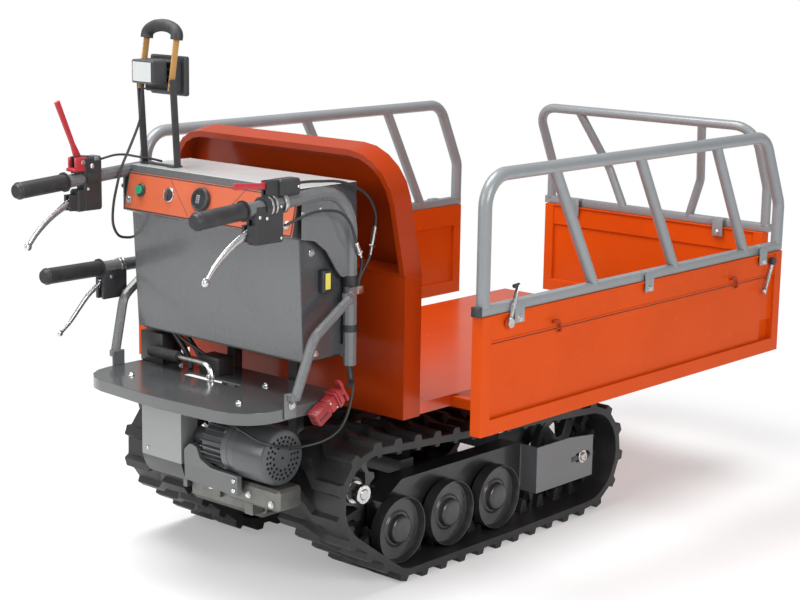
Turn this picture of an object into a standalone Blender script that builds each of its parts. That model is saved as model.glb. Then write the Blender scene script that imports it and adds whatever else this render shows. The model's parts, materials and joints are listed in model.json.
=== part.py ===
# Tracked electric power barrow with a tipping, widening load bed.
# Metres, +Z up, +X towards the front of the load bed, +Y to the operator's left.
# Shapes are drawn with X = 0 at the rear end of the side boards. The last step
# slides the whole along X, so that the origin is on the ground under its middle.
import math

import bmesh
import bpy
from mathutils import Matrix, Vector

# Overall layout
CENTRE_X = 0.40899
GAP = 0.0003
LEFT = 1
RIGHT = -1
SIDES = {"left": LEFT, "right": RIGHT}

# Load bed
BOARD_LENGTH = 1.116
BOARD_THICKNESS = 0.0275
BOARD_BOTTOM = 0.3452
BOARD_TOP = 0.5856
BOARD_OUTER_Y = 0.5104
BOARD_INNER_Y = BOARD_OUTER_Y - BOARD_THICKNESS
BOARD_MID_Y = BOARD_OUTER_Y - BOARD_THICKNESS / 2
FRONT_BOARD_X = 1.3069
FRONT_HALF_WIDTH = 0.3423
POST_WIDTH = 0.028
RECESS = 0.009
DECK_REAR = 0.0365
DECK_FRONT = 1.112
DECK_HALF_WIDTH = 0.3207
DECK_BOTTOM = 0.352
DECK_TOP = 0.376
SHEET = 0.003
SLIDE_BAR_LOW = 0.3490
SLIDE_BAR_HIGH = 0.3712
SLIDE_BAR_WIDTH = 0.022
SIDE_BAR_X = (0.150, 0.720)
FRONT_BAR_Y = (-0.200, 0.200)
TIP_AXIS = (0.720, 0.312)

# Head board: a low box with a dished upper part that leans back
HEAD_FRONT = 0.0362
HEAD_DEPTH = 0.050
HEAD_FOLD_Z = 0.645
HEAD_TOP = 0.903
HEAD_LEAN = math.radians(13)
HEAD_CORNER = 0.105
HEAD_RIM = 0.013

# Cage rails
RAIL_RADIUS = 0.0138
BAR_RADIUS = 0.0122
RAIL_TOP = 0.859
RAIL_KNEE = 0.697
RAIL_FOOT = 0.020
FRONT_RAIL_LEAN = 0.072

# Tracks
TRACK_Y = 0.2307
BELT_HALF_WIDTH = 0.090
BELT_THICKNESS = 0.016
LUG_HEIGHT = 0.012
HORN_HEIGHT = 0.028
LINK_PITCH = 0.060
BELT_FLOOR = BELT_THICKNESS + LUG_HEIGHT
SPROCKET = (-0.092, 0.203)
SPROCKET_PATH = 0.087
IDLER = (0.632, 0.136)
IDLER_PATH = 0.104
WHEEL_X = (0.0247, 0.1832, 0.3417)
WHEEL_PATH = 0.0732
WHEEL_Z = BELT_FLOOR + WHEEL_PATH
WHEEL_RADIUS = 0.0708
WHEEL_SPREAD = 0.0608
WHEEL_BACK = 0.033
AXLE_RADIUS = 0.012
IDLER_RADIUS = 0.1018
TEETH = 10
TOOTH_RADIUS = 0.0840
TOOTH_ROOT_RADIUS = 0.070
DISC_HALF_THICKNESS = 0.009
YOKE_HALF_WIDTH = 0.0693

# Drive
MOTOR = (-0.2491, 0.2966)
FAN_COVER_RADIUS = 0.0575
END_BELL_RADIUS = 0.0545
FIN_RADIUS = 0.0530
MOTOR_CORE_RADIUS = 0.0460
COUPLING_RADIUS = 0.0190
FIN_COUNT = 12
CASE_TOP = 0.2020
COVER_REAR = -0.300
COVER_PLATE_FRONT = -0.2880
COVER_BOX_FRONT = -0.2555
COVER_BOX_RIGHT = 0.0265
COVER_BOX_LEFT = 0.147
COVER_BOX_LOW = 0.2095
COVER_BOX_TOP = 0.3855

# Operator's end
PLATE_TOP = 0.410
PLATE_HALF_WIDTH = 0.2535
PLATE_RIM = 0.024
CONSOLE_HALF_WIDTH = 0.245
CONSOLE_FRONT = -0.075
CONSOLE_BOTTOM = 0.490
CONSOLE_TOP = 0.832
BAR_Y = 0.2615
BAR_X = -0.110
TUBE_RADIUS = 0.0138
GRIP_START = (-0.397, 0.8075)
GRIP_END = (-0.520, 0.7995)
LAMP_Y = 0.189
LAMP_TILT_AXIS = (-0.2155, 1.0009)
MAST_FOOT_X = -0.205
MAST_HALF_SPREAD = 0.0510
TIP_HANDLE_Y = 0.3080
TIP_HANDLE_Z = 0.6090
TIP_GRIP_START = -0.2740
TIP_GRIP_END = -0.4220
TIP_LEVER_PIVOT = (-0.2700, 0.5790)


def start_scene():
    for old in list(bpy.data.objects):
        bpy.data.objects.remove(old)
    parts = bpy.data.collections.new("electric_power_barrow")
    bpy.context.scene.collection.children.link(parts)
    return parts


PARTS = start_scene()


def make_material(name, colour, roughness, metallic):
    material = bpy.data.materials.new(name)
    material.use_nodes = True
    shader = material.node_tree.nodes["Principled BSDF"]
    shader.inputs["Base Color"].default_value = (*colour, 1.0)
    shader.inputs["Roughness"].default_value = roughness
    shader.inputs["Metallic"].default_value = metallic
    return material


FINISHES = {
    "orange": ((0.80, 0.115, 0.012), 0.28, 0.0),
    "grey_paint": ((0.19, 0.20, 0.21), 0.38, 0.0),
    "silver_paint": ((0.42, 0.44, 0.46), 0.35, 0.3),
    "dark_paint": ((0.06, 0.065, 0.07), 0.50, 0.0),
    "rubber": ((0.030, 0.032, 0.034), 0.80, 0.0),
    "black_plastic": ((0.018, 0.018, 0.019), 0.50, 0.0),
    "steel": ((0.62, 0.62, 0.60), 0.28, 1.0),
    "cast": ((0.32, 0.32, 0.31), 0.55, 0.8),
    "red": ((0.60, 0.012, 0.02), 0.35, 0.0),
    "green": ((0.01, 0.30, 0.14), 0.35, 0.0),
    "tan": ((0.60, 0.36, 0.10), 0.40, 0.5),
}


def finish_with(obj, finish):
    colour, roughness, metallic = FINISHES[finish]
    obj.data.materials.clear()
    obj.data.materials.append(make_material(obj.name + "_finish", colour, roughness, metallic))
    return obj


# Basic shapes

def from_bmesh(bm, name):
    bmesh.ops.recalc_face_normals(bm, faces=bm.faces)
    mesh = bpy.data.meshes.new(name)
    bm.to_mesh(mesh)
    bm.free()
    obj = bpy.data.objects.new(name, mesh)
    PARTS.objects.link(obj)
    return obj


def box(name, low, high, bevel=0.0, segments=1):
    low, high = Vector(low), Vector(high)
    bm = bmesh.new()
    bmesh.ops.create_cube(bm, size=1.0)
    for vert in bm.verts:
        for i in range(3):
            vert.co[i] = high[i] if vert.co[i] > 0 else low[i]
    if bevel:
        bmesh.ops.bevel(bm, geom=list(bm.edges), offset=bevel, segments=segments,
                        profile=0.5, affect="EDGES", clamp_overlap=True)
    return from_bmesh(bm, name)


def rod(name, start, end, radius, sides=12, end_radius=None):
    start, end = Vector(start), Vector(end)
    along = end - start
    bm = bmesh.new()
    bmesh.ops.create_cone(bm, cap_ends=True, segments=sides, radius1=radius,
                          radius2=radius if end_radius is None else end_radius, depth=along.length)
    turn = along.to_track_quat("Z", "Y").to_matrix().to_4x4()
    bmesh.ops.transform(bm, matrix=Matrix.Translation((start + end) / 2) @ turn, verts=bm.verts)
    return from_bmesh(bm, name)


def rounded(corners, radii, steps=4, closed=False):
    """Points through the corners, each corner replaced by an arc of its radius."""
    corners = [Vector(c) for c in corners]
    if not hasattr(radii, "__len__"):
        radii = [radii] * len(corners)
    points = []
    for i, corner in enumerate(corners):
        at_end = not closed and i in (0, len(corners) - 1)
        if at_end or radii[i] == 0:
            points.append(corner)
            continue
        before = (corners[i - 1] - corner).normalized()
        after = (corners[(i + 1) % len(corners)] - corner).normalized()
        half = before.angle(after) / 2
        centre = corner + (before + after).normalized() * (radii[i] / math.sin(half))
        first = corner + before * (radii[i] / math.tan(half)) - centre
        last = corner + after * (radii[i] / math.tan(half)) - centre
        sweep = math.pi - 2 * half
        for k in range(steps + 1):
            share = math.sin(sweep * (1 - k / steps)) * first + math.sin(sweep * k / steps) * last
            points.append(centre + share / math.sin(sweep))
    return points


def tube(name, points, radius, resolution=2):
    """A round bar along the points, as a closed mesh made from a bevelled curve."""
    curve = bpy.data.curves.new(name, "CURVE")
    curve.dimensions = "3D"
    curve.bevel_depth = radius
    curve.bevel_resolution = resolution
    curve.use_fill_caps = True
    spline = curve.splines.new("POLY")
    spline.points.add(len(points) - 1)
    for point, place in zip(spline.points, points):
        point.co = (*place, 1.0)
    return mesh_from_curve(name, curve)


def mesh_from_curve(name, curve, matrix=Matrix.Identity(4)):
    holder = bpy.data.objects.new(name + "_curve", curve)
    PARTS.objects.link(holder)
    bpy.context.view_layer.update()
    evaluated = holder.evaluated_get(bpy.context.evaluated_depsgraph_get())
    mesh = bpy.data.meshes.new_from_object(evaluated)
    bm = bmesh.new()
    bm.from_mesh(mesh)
    bmesh.ops.remove_doubles(bm, verts=bm.verts, dist=0.00002)
    bmesh.ops.transform(bm, matrix=matrix, verts=bm.verts)
    bpy.data.objects.remove(holder)
    return from_bmesh(bm, name)


def plate(name, outlines, low, high, plane="XZ"):
    """A flat outline, with further outlines as holes, between two heights on its normal."""
    curve = bpy.data.curves.new(name, "CURVE")
    curve.dimensions = "2D"
    curve.fill_mode = "BOTH"
    curve.extrude = (high - low) / 2
    for outline in outlines:
        spline = curve.splines.new("POLY")
        spline.use_cyclic_u = True
        spline.points.add(len(outline) - 1)
        for point, place in zip(spline.points, outline):
            point.co = (place[0], place[1], 0.0, 1.0)
    middle = (low + high) / 2
    turns = {
        "XY": Matrix(((1, 0, 0, 0), (0, 1, 0, 0), (0, 0, 1, middle), (0, 0, 0, 1))),
        "XZ": Matrix(((1, 0, 0, 0), (0, 0, 1, middle), (0, 1, 0, 0), (0, 0, 0, 1))),
        "YZ": Matrix(((0, 0, 1, middle), (1, 0, 0, 0), (0, 1, 0, 0), (0, 0, 0, 1))),
    }
    return mesh_from_curve(name, curve, turns[plane])


def turned(name, profile, centre, sides):
    """A profile of (radius, Y) turned about the line along Y through the centre."""
    mesh = bpy.data.meshes.new(name)
    mesh.from_pydata([(r, 0.0, y) for r, y in profile],
                     [(i, i + 1) for i in range(len(profile) - 1)], [])
    obj = bpy.data.objects.new(name, mesh)
    PARTS.objects.link(obj)
    screw = obj.modifiers.new("turn", "SCREW")
    screw.steps = sides
    screw.render_steps = sides
    screw.use_merge_vertices = True
    screw.merge_threshold = 0.0001
    bpy.context.view_layer.update()
    evaluated = obj.evaluated_get(bpy.context.evaluated_depsgraph_get())
    bm = bmesh.new()
    bm.from_mesh(bpy.data.meshes.new_from_object(evaluated))
    bpy.data.objects.remove(obj)
    x, z = centre
    lay = Matrix(((1, 0, 0, x), (0, 0, 1, 0), (0, 1, 0, z), (0, 0, 0, 1)))
    bmesh.ops.transform(bm, matrix=lay, verts=bm.verts)
    bmesh.ops.remove_doubles(bm, verts=bm.verts, dist=0.00002)
    return from_bmesh(bm, name)


def combine(base, others, operation):
    """Boolean the others into the base, keep the result as the base's own mesh."""
    for other in others:
        modifier = base.modifiers.new(operation.lower(), "BOOLEAN")
        modifier.operation = operation
        modifier.object = other
        bpy.context.view_layer.update()
        evaluated = base.evaluated_get(bpy.context.evaluated_depsgraph_get())
        mesh = bpy.data.meshes.new_from_object(evaluated)
        base.modifiers.clear()
        base.data = mesh
        bpy.data.objects.remove(other)
    return base


def join(base, *others):
    return combine(base, others, "UNION")


def cut(base, *others):
    return combine(base, others, "DIFFERENCE")


def tidy(obj):
    """Dissolve flat leftovers, so that a flat face stays one face."""
    bm = bmesh.new()
    bm.from_mesh(obj.data)
    bmesh.ops.remove_doubles(bm, verts=bm.verts, dist=0.00001)
    bmesh.ops.dissolve_limit(bm, angle_limit=math.radians(0.5), verts=bm.verts, edges=bm.edges)
    bm.to_mesh(obj.data)
    bm.free()
    return obj


def pivot(obj, point):
    """Put the object's origin on its joint's axis."""
    obj.data.transform(Matrix.Translation(-Vector(point)))
    obj.location = point
    return obj


def mirrored(obj, name):
    """The left-hand piece's copy on the right-hand side."""
    bm = bmesh.new()
    bm.from_mesh(obj.data)
    bmesh.ops.transform(bm, matrix=Matrix.Diagonal((1, -1, 1, 1)), verts=bm.verts)
    bmesh.ops.reverse_faces(bm, faces=bm.faces)
    mesh = bpy.data.meshes.new(name)
    bm.to_mesh(mesh)
    bm.free()
    twin = bpy.data.objects.new(name, mesh)
    twin.location = (obj.location.x, -obj.location.y, obj.location.z)
    PARTS.objects.link(twin)
    return twin


def both_sides(name, obj, finish):
    """Name a left-hand piece and add its right-hand twin."""
    twin = mirrored(obj, name + "_right")
    obj.name = name + "_left"
    finish_with(obj, finish)
    finish_with(twin, finish)


# Track belt: the outer boundary of the sprocket, idler and road wheels

def belt_path():
    """Arcs and lines of the belt's inner face, anticlockwise seen from the right."""
    circles = [
        (Vector((WHEEL_X[0], WHEEL_Z)), WHEEL_PATH),
        (Vector((WHEEL_X[2], WHEEL_Z)), WHEEL_PATH),
        (Vector(IDLER), IDLER_PATH),
        (Vector(SPROCKET), SPROCKET_PATH),
    ]
    normals = []
    for (centre, radius), (next_centre, next_radius) in zip(circles, circles[1:] + circles[:1]):
        across = next_centre - centre
        heading = math.atan2(across.y, across.x)
        normals.append(heading - math.acos((radius - next_radius) / across.length))
    pieces = []
    for i, (centre, radius) in enumerate(circles):
        start, end = normals[i - 1], normals[i]
        end += math.tau * math.ceil((start - end) / math.tau)
        pieces.append(("arc", centre, radius, start, end))
        next_centre, next_radius = circles[(i + 1) % len(circles)]
        outward = Vector((math.cos(end), math.sin(end)))
        pieces.append(("line", centre + radius * outward, next_centre + next_radius * outward, outward))
    return pieces


NEUTRAL = 0.008


def piece_length(piece):
    if piece[0] == "arc":
        return (piece[2] + NEUTRAL) * (piece[4] - piece[3])
    return (piece[2] - piece[1]).length


BELT = belt_path()
BELT_LENGTH = sum(piece_length(piece) for piece in BELT)
LINKS = round(BELT_LENGTH / LINK_PITCH)
PITCH = BELT_LENGTH / LINKS


def on_belt(run, height):
    """The point at a run along the belt and a height outside its inner face."""
    run %= BELT_LENGTH
    for piece in BELT:
        length = piece_length(piece)
        if run > length:
            run -= length
            continue
        if piece[0] == "arc":
            angle = piece[3] + run / (piece[2] + NEUTRAL)
            outward = Vector((math.cos(angle), math.sin(angle)))
            return piece[1] + outward * (piece[2] + height)
        return piece[1].lerp(piece[2], run / length) + piece[3] * height
    return on_belt(run - 1e-9, height)


LUG_RUN = 0.42
LUG_SKEW = 0.25
LUG_TAPER = 0.0045
HORN_TAPER = 0.006
OUTER_COLUMNS = (-0.090, -0.020, 0.020, 0.090)
INNER_COLUMNS = (0.090, 0.028, 0.012, -0.012, -0.028, -0.090)
HORN_COLUMNS = (5, 7)


def belt_rows():
    """Runs of the belt's cross rows; the flag marks a row that starts a lug."""
    rows = []
    for link in range(LINKS):
        rows.append((link * PITCH, True))
        rows.append(((link + LUG_RUN) * PITCH, False))
    return rows


def skewed(run, y, outer):
    """The two halves of each lug are staggered, joined by a slanted middle."""
    if outer or abs(y) == BELT_HALF_WIDTH:
        return run + math.copysign(LUG_SKEW * PITCH, y)
    return run


def rubber_track():
    bm = bmesh.new()
    run_of = bm.verts.layers.float.new("run")
    columns = [(y, True) for y in OUTER_COLUMNS] + [(y, False) for y in INNER_COLUMNS]
    rows = belt_rows()
    grid = []
    for run, _ in rows:
        ring = []
        for y, outer in columns:
            here = skewed(run, y, outer)
            x, z = on_belt(here, BELT_THICKNESS if outer else 0.0)
            vert = bm.verts.new((x, TRACK_Y + y, z))
            vert[run_of] = here
            ring.append(vert)
        grid.append(ring)
    lugs, horns = [], []
    count = len(columns)
    for i, (run, starts_lug) in enumerate(rows):
        ring, after = grid[i], grid[(i + 1) % len(rows)]
        for k in range(count):
            m = (k + 1) % count
            face = bm.faces.new((ring[k], ring[m], after[m], after[k]))
            if starts_lug and k < len(OUTER_COLUMNS) - 1:
                lugs.append(face)
            if starts_lug and k in HORN_COLUMNS:
                horns.append(face)
    bmesh.ops.recalc_face_normals(bm, faces=bm.faces)
    raise_blocks(bm, run_of, lugs, BELT_THICKNESS + LUG_HEIGHT, LUG_TAPER)
    raise_blocks(bm, run_of, horns, -HORN_HEIGHT, HORN_TAPER)
    return from_bmesh(bm, "rubber_track")


def raise_blocks(bm, run_of, faces, height, taper):
    """Extrude blocks off the belt and draw their two long sides in by the taper."""
    middles = {}
    for face in faces:
        runs = sorted(vert[run_of] for vert in face.verts)
        for vert in face.verts:
            partner = min(face.verts, key=lambda other: abs(other.co.y - vert.co.y)
                          + (10 if other is vert else 0))
            middles[tuple(vert.co)] = (vert[run_of] + partner[run_of]) / 2
            if abs(partner[run_of] - vert[run_of]) > PITCH:
                middles[tuple(vert.co)] = runs[-1] + PITCH * LUG_RUN / 2
    made = bmesh.ops.extrude_face_region(bm, geom=faces)["geom"]
    for vert in (item for item in made if isinstance(item, bmesh.types.BMVert)):
        middle = middles[tuple(vert.co)]
        run = vert[run_of]
        run += math.copysign(taper, middle - run)
        x, z = on_belt(run, height)
        vert.co.x, vert.co.z = x, z
    bmesh.ops.delete(bm, geom=faces, context="FACES")


# Running gear

def road_wheel(x):
    """Two dished discs on one axle, with the belt's horns and the beam between them."""
    spread = WHEEL_SPREAD
    back = WHEEL_BACK
    profile = [
        (0.0, spread - 0.003), (0.021, spread - 0.003), (0.023, spread - 0.020),
        (0.064, spread - 0.012), (0.0675, spread), (WHEEL_RADIUS, spread), (WHEEL_RADIUS, back),
        (AXLE_RADIUS, back), (AXLE_RADIUS, -back), (WHEEL_RADIUS, -back), (WHEEL_RADIUS, -spread),
        (0.0, -spread),
    ]
    wheel = turned("wheel", profile, (x, WHEEL_Z), 14)
    wheel.data.transform(Matrix.Translation((0, TRACK_Y, 0)))
    return pivot(wheel, (x, TRACK_Y, WHEEL_Z))


def ring_points(centre, radius, count, start=0.0):
    return [(centre[0] + radius * math.cos(start + math.tau * k / count),
             centre[1] + radius * math.sin(start + math.tau * k / count)) for k in range(count)]


def window(centre, inner, outer, middle, half_angle, steps=2):
    """A web window between two radii, narrowing towards the hub."""
    low = [(centre[0] + inner * math.cos(middle + side * half_angle * 0.55),
            centre[1] + inner * math.sin(middle + side * half_angle * 0.55)) for side in (1, -1)]
    high = [(centre[0] + outer * math.cos(middle - half_angle + 2 * half_angle * k / steps),
             centre[1] + outer * math.sin(middle - half_angle + 2 * half_angle * k / steps))
            for k in range(steps + 1)]
    return low + high


def idler():
    """Spoked front wheel that runs between the belt's two rows of horns."""
    x, z = IDLER
    y = TRACK_Y
    rim = ring_points(IDLER, IDLER_RADIUS, 28)
    windows = [window(IDLER, 0.040, 0.084, math.tau * (k + 0.4) / 5, math.radians(25)) for k in range(5)]
    wheel = plate("idler", [rim] + windows, y - DISC_HALF_THICKNESS, y + DISC_HALF_THICKNESS)
    hub = rod("hub", (x, y - 0.040, z), (x, y + 0.040, z), 0.024, 12)
    axle = rod("axle", (x, y - 0.074, z), (x, y + 0.074, z), 0.008, 8)
    return pivot(join(wheel, hub, axle), (x, y, z))


def sprocket():
    """Toothed drive wheel on its output shaft, bolted through a raised hub."""
    x, z = SPROCKET
    y = TRACK_Y
    outline = []
    for k in range(TEETH):
        middle = math.tau * (k + 0.25) / TEETH
        for offset, radius in ((-0.30, TOOTH_ROOT_RADIUS), (-0.12, TOOTH_RADIUS),
                               (0.12, TOOTH_RADIUS), (0.30, TOOTH_ROOT_RADIUS)):
            angle = middle + offset * math.tau / TEETH
            outline.append((x + radius * math.cos(angle), z + radius * math.sin(angle)))
    windows = [window(SPROCKET, 0.036, 0.060, math.tau * (k + 0.2) / 3, math.radians(42)) for k in range(3)]
    disc = plate("sprocket", [outline] + windows, y - DISC_HALF_THICKNESS, y + DISC_HALF_THICKNESS)
    hub = rod("hub", (x, y - 0.030, z), (x, y + 0.026, z), 0.031, 12)
    nut = rod("nut", (x, y, z), (x, y + 0.058, z), 0.019, 6)
    shaft = rod("shaft", (x, 0.1383, z), (x, y, z), 0.0165, 10)
    return pivot(join(disc, hub, nut, shaft), (x, y, z))


def track_frame():
    """Side beam with an axle bore for each road wheel and the idler's tensioning yoke."""
    y = TRACK_Y
    beam = plate("track_frame", [rounded([(0.004, 0.086), (0.462, 0.086), (0.462, 0.196), (0.060, 0.196),
                                          (0.004, 0.160)], 0.010, 1, True)], y - 0.024, y + 0.024)
    rear = box("rear", (0.4612, y - YOKE_HALF_WIDTH, 0.084), (0.4672, y + YOKE_HALF_WIDTH, 0.190))
    beam = join(beam, rear)
    for side in (-1, 1):
        outline = [(0.4642, 0.084), (0.672, 0.084), (0.672, 0.180), (0.580, 0.190), (0.4642, 0.190)]
        slot = rounded([(0.600, 0.1255), (0.664, 0.1255), (0.664, 0.1465), (0.600, 0.1465)], 0.0098, 1, True)
        low, high = sorted((y + side * YOKE_HALF_WIDTH, y + side * (YOKE_HALF_WIDTH - 0.005)))
        beam = join(beam, plate("cheek", [outline, slot], low, high))
    for x in WHEEL_X:
        beam = cut(beam, rod("bore", (x, y - 0.05, WHEEL_Z), (x, y + 0.05, WHEEL_Z), AXLE_RADIUS + 0.0009, 12))
    return tidy(beam)


def main_frame():
    """Chassis between the tracks: rails, cross tubes, hinge lugs, bed rest and console posts."""
    frame = box("main_frame", (-0.1005, 0.070, 0.2360), (0.760, 0.110, 0.290))
    frame = join(frame, box("rail", (-0.1005, -0.110, 0.2360), (0.760, -0.070, 0.290)))
    reach = TRACK_Y - 0.024 - GAP
    for x in (0.110, 0.400):
        frame = join(frame, box("cross", (x, -reach, 0.1800), (x + 0.040, reach, 0.2150)))
        frame = join(frame, box("riser", (x, -0.110, 0.2100), (x + 0.040, 0.110, 0.2400)))
    for x in (-0.050, 0.690):
        frame = join(frame, box("tie", (x, -0.080, 0.235), (x + 0.030, 0.080, 0.275)))
    frame = join(frame, box("rest", (0.060, -0.080, 0.2700), (0.100, 0.080, 0.3095)))
    for side in (-1, 1):
        outline = rounded([(0.690, 0.250), (0.750, 0.250), (0.740, 0.330), (0.700, 0.330)], 0.012, 1, True)
        low, high = sorted((side * 0.0505, side * 0.0720))
        frame = join(frame, plate("lug", [outline], low, high))
        low, high = sorted((side * 0.080, side * 0.104))
        frame = join(frame, box("post", (-0.1005, low, 0.280), (-0.079, high, 0.4865)))
    frame = join(frame, box("tray", (-0.216, -0.236, 0.4855), (-0.078, 0.236, 0.4895)))
    pin = rod("pin", (TIP_AXIS[0], -0.060, TIP_AXIS[1]), (TIP_AXIS[0], 0.060, TIP_AXIS[1]), 0.010, 12)
    frame = join(frame, pin)
    for x in (-0.060, 0.010):
        frame = join(frame, box("seat", (x, -0.108, 0.2038), (x + 0.030, 0.108, 0.2400)))
    frame.name = "main_frame"
    return tidy(frame)


# Drive

def transmission():
    """Cast gear case between the tracks with its output housings and its arm under the motor."""
    case = box("transmission_case", (-0.205, -0.112, 0.135), (-0.030, 0.112, CASE_TOP), 0.012)
    x, z = SPROCKET
    case = join(case, rod("outputs", (x, -0.138, z), (x, 0.138, z), 0.027, 16))
    for y in (-0.095, 0.095):
        case = join(case, box("foot", (-0.058, y - 0.012, 0.190), (0.036, y + 0.012, 0.2035)))
    for y in (-0.118, 0.004, 0.106):
        case = join(case, box("flange", (-0.2140, y, 0.160), (-0.190, y + 0.012, 0.190)))
    arm_top = MOTOR[1] - FAN_COVER_RADIUS - GAP
    case = join(case, box("neck", (-0.230, -0.110, 0.150), (-0.190, -0.086, 0.200)))
    case = join(case, box("arm", (-0.280, -0.235, 0.194), (-0.213, -0.085, arm_top), 0.006))
    case.name = "transmission_case"
    return tidy(case)


def drive_cover():
    """Pressed cover: a tall box on the left, a plate running right and a tray under the motor."""
    low, top = COVER_BOX_LOW, COVER_BOX_TOP
    side = [(COVER_REAR, 0.2435), (COVER_PLATE_FRONT - 0.0005, low), (COVER_BOX_FRONT, low),
            (COVER_BOX_FRONT, top), (COVER_REAR + 0.005, top), (COVER_REAR, top - 0.005)]
    cover = plate("drive_cover", [side], COVER_BOX_RIGHT, COVER_BOX_LEFT)
    rear = rounded([(COVER_BOX_RIGHT - 0.01, low - 0.01), (COVER_BOX_LEFT, low), (COVER_BOX_LEFT, top),
                    (COVER_BOX_RIGHT - 0.01, top + 0.01)], [0, 0.020, 0.004, 0], 3, True)
    rear = plate("rear", [rear], COVER_REAR - 0.01, COVER_BOX_FRONT + 0.01, "YZ")
    cover = combine(cover, [rear], "INTERSECT")
    lower = rounded([(0.0155, 0.2165), (0.0180, 0.2784), (-0.0005, 0.2947), (-0.0200, 0.2900),
                     (-0.0290, 0.2680), (-0.0615, 0.2548), (-0.1390, 0.2531), (-0.1390, 0.2116)],
                    [0.002, 0.008, 0.010, 0.008, 0.010, 0.012, 0.003, 0.003], 2, True)
    cover = join(cover, plate("lower", [lower], COVER_REAR, COVER_PLATE_FRONT, "YZ"))
    cover = join(cover, box("tray", (COVER_PLATE_FRONT - 0.002, -0.080, 0.2165), (-0.232, 0.014, 0.2385)))
    cover = join(cover, box("bridge", (COVER_PLATE_FRONT - 0.001, 0.010, 0.2175), (-0.260, 0.035, 0.2375)))
    cover.name = "drive_cover"
    return tidy(cover)


def drive_motor():
    """Finned motor lying across the barrow, its vented fan cover facing right."""
    x, z = MOTOR
    coupling_left = COVER_BOX_RIGHT - GAP
    fins_left, fins_right = -0.030, -0.0926
    cover_left, cover_right = -0.130, -0.215
    core, fan = MOTOR_CORE_RADIUS, FAN_COVER_RADIUS
    profile = [(0.0, coupling_left), (COUPLING_RADIUS, coupling_left), (COUPLING_RADIUS, fins_left),
               (core, fins_left), (core, fins_right), (END_BELL_RADIUS, fins_right),
               (END_BELL_RADIUS, cover_left), (fan, cover_left), (fan, cover_right + 0.004),
               (fan - 0.004, cover_right), (0.0, cover_right)]
    motor = turned("drive_motor", profile, MOTOR, 20)
    for k in range(FIN_COUNT):
        angle = math.tau * (k + 0.5) / FIN_COUNT
        fin = box("fin", (core - 0.004, fins_right - 0.002, -0.0014), (FIN_RADIUS, fins_left, 0.0014))
        fin.data.transform(Matrix.Translation((x, 0, z)) @ Matrix.Rotation(angle, 4, "Y"))
        motor = join(motor, fin)
    return tidy(motor)


# Load bed

def deck():
    """Folded sheet floor with a hinge spine and guides for the boards' slide bars."""
    floor = box("deck", (DECK_REAR, -DECK_HALF_WIDTH, DECK_BOTTOM), (DECK_FRONT, DECK_HALF_WIDTH, DECK_TOP))
    inside = DECK_HALF_WIDTH - SHEET
    floor = cut(floor, box("under", (DECK_REAR + SHEET, -inside, DECK_BOTTOM - 0.01),
                           (DECK_FRONT - SHEET, inside, DECK_TOP - SHEET)))
    spine = box("spine", (0.060, -0.045, 0.3100), (1.000, 0.045, DECK_TOP - 0.002))
    floor = join(floor, spine)
    knuckle = rod("knuckle", (TIP_AXIS[0], -0.045, TIP_AXIS[1]), (TIP_AXIS[0], 0.045, TIP_AXIS[1]), 0.024, 12)
    floor = join(floor, knuckle)
    half = SLIDE_BAR_WIDTH / 2 + 0.0006
    notch_low, notch_top = DECK_BOTTOM - 0.01, SLIDE_BAR_HIGH + 0.0006
    for x in SIDE_BAR_X:
        floor = cut(floor, box("notch", (x - half, -0.40, notch_low), (x + half, -0.044 - GAP, notch_top)))
        floor = cut(floor, box("notch", (x - half, 0.044 + GAP, notch_low), (x + half, 0.40, notch_top)))
        for side in (-1, 1):
            low, high = sorted((side * 0.100, side * (inside + 0.001)))
            for edge in (-half - 0.003, half):
                rib = box("rib", (x + edge, low, DECK_BOTTOM), (x + edge + 0.003, high, DECK_TOP - 0.002))
                floor = join(floor, rib)
    for y in FRONT_BAR_Y:
        floor = cut(floor, box("notch", (0.80, y - half, notch_low), (1.20, y + half, notch_top)))
        for edge in (-half - 0.003, half):
            rib = box("rib", (0.960, y + edge, DECK_BOTTOM),
                      (DECK_FRONT - 0.002, y + edge + 0.003, DECK_TOP - 0.002))
            floor = join(floor, rib)
    bore = rod("bore", (TIP_AXIS[0], -0.06, TIP_AXIS[1]), (TIP_AXIS[0], 0.06, TIP_AXIS[1]), 0.0110, 12)
    return tidy(cut(floor, bore))


def head_board():
    """Low box with a ledge, and above it a dished panel with a deep rolled rim."""
    half = DECK_HALF_WIDTH
    back = HEAD_FRONT - HEAD_DEPTH
    low = box("headboard", (back, -half, BOARD_BOTTOM + 0.003), (HEAD_FRONT, half, HEAD_FOLD_Z))
    low = cut(low, box("inside", (back + SHEET, -half + SHEET, 0.30),
                       (HEAD_FRONT - SHEET, half - SHEET, HEAD_FOLD_Z - SHEET)))
    rise = (HEAD_TOP - HEAD_FOLD_Z) / math.cos(HEAD_LEAN)
    foot = -0.020
    half -= 0.0006
    outline = rounded([(-half, foot), (half, foot), (half, rise), (-half, rise)],
                      [0, 0, HEAD_CORNER, HEAD_CORNER], 5, True)
    edge = half - HEAD_RIM
    dish = rounded([(-edge, 0.012), (edge, 0.012), (edge, rise - HEAD_RIM), (-edge, rise - HEAD_RIM)],
                   [0, 0, HEAD_CORNER - HEAD_RIM, HEAD_CORNER - HEAD_RIM], 5, True)
    upper = plate("upper", [outline], -HEAD_DEPTH, 0.0, "YZ")
    upper = cut(upper, plate("dish", [dish], -HEAD_DEPTH - 0.01, -0.006, "YZ"))
    lean = Matrix.Translation((HEAD_FRONT - 0.0006, 0, HEAD_FOLD_Z)) @ Matrix.Rotation(-HEAD_LEAN, 4, "Y")
    upper.data.transform(lean)
    trim = box("trim", (-0.3, -0.5, 0.2), (0.3, 0.5, HEAD_FOLD_Z - 0.0015))
    upper = cut(upper, trim)
    return tidy(join(low, upper))


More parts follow.
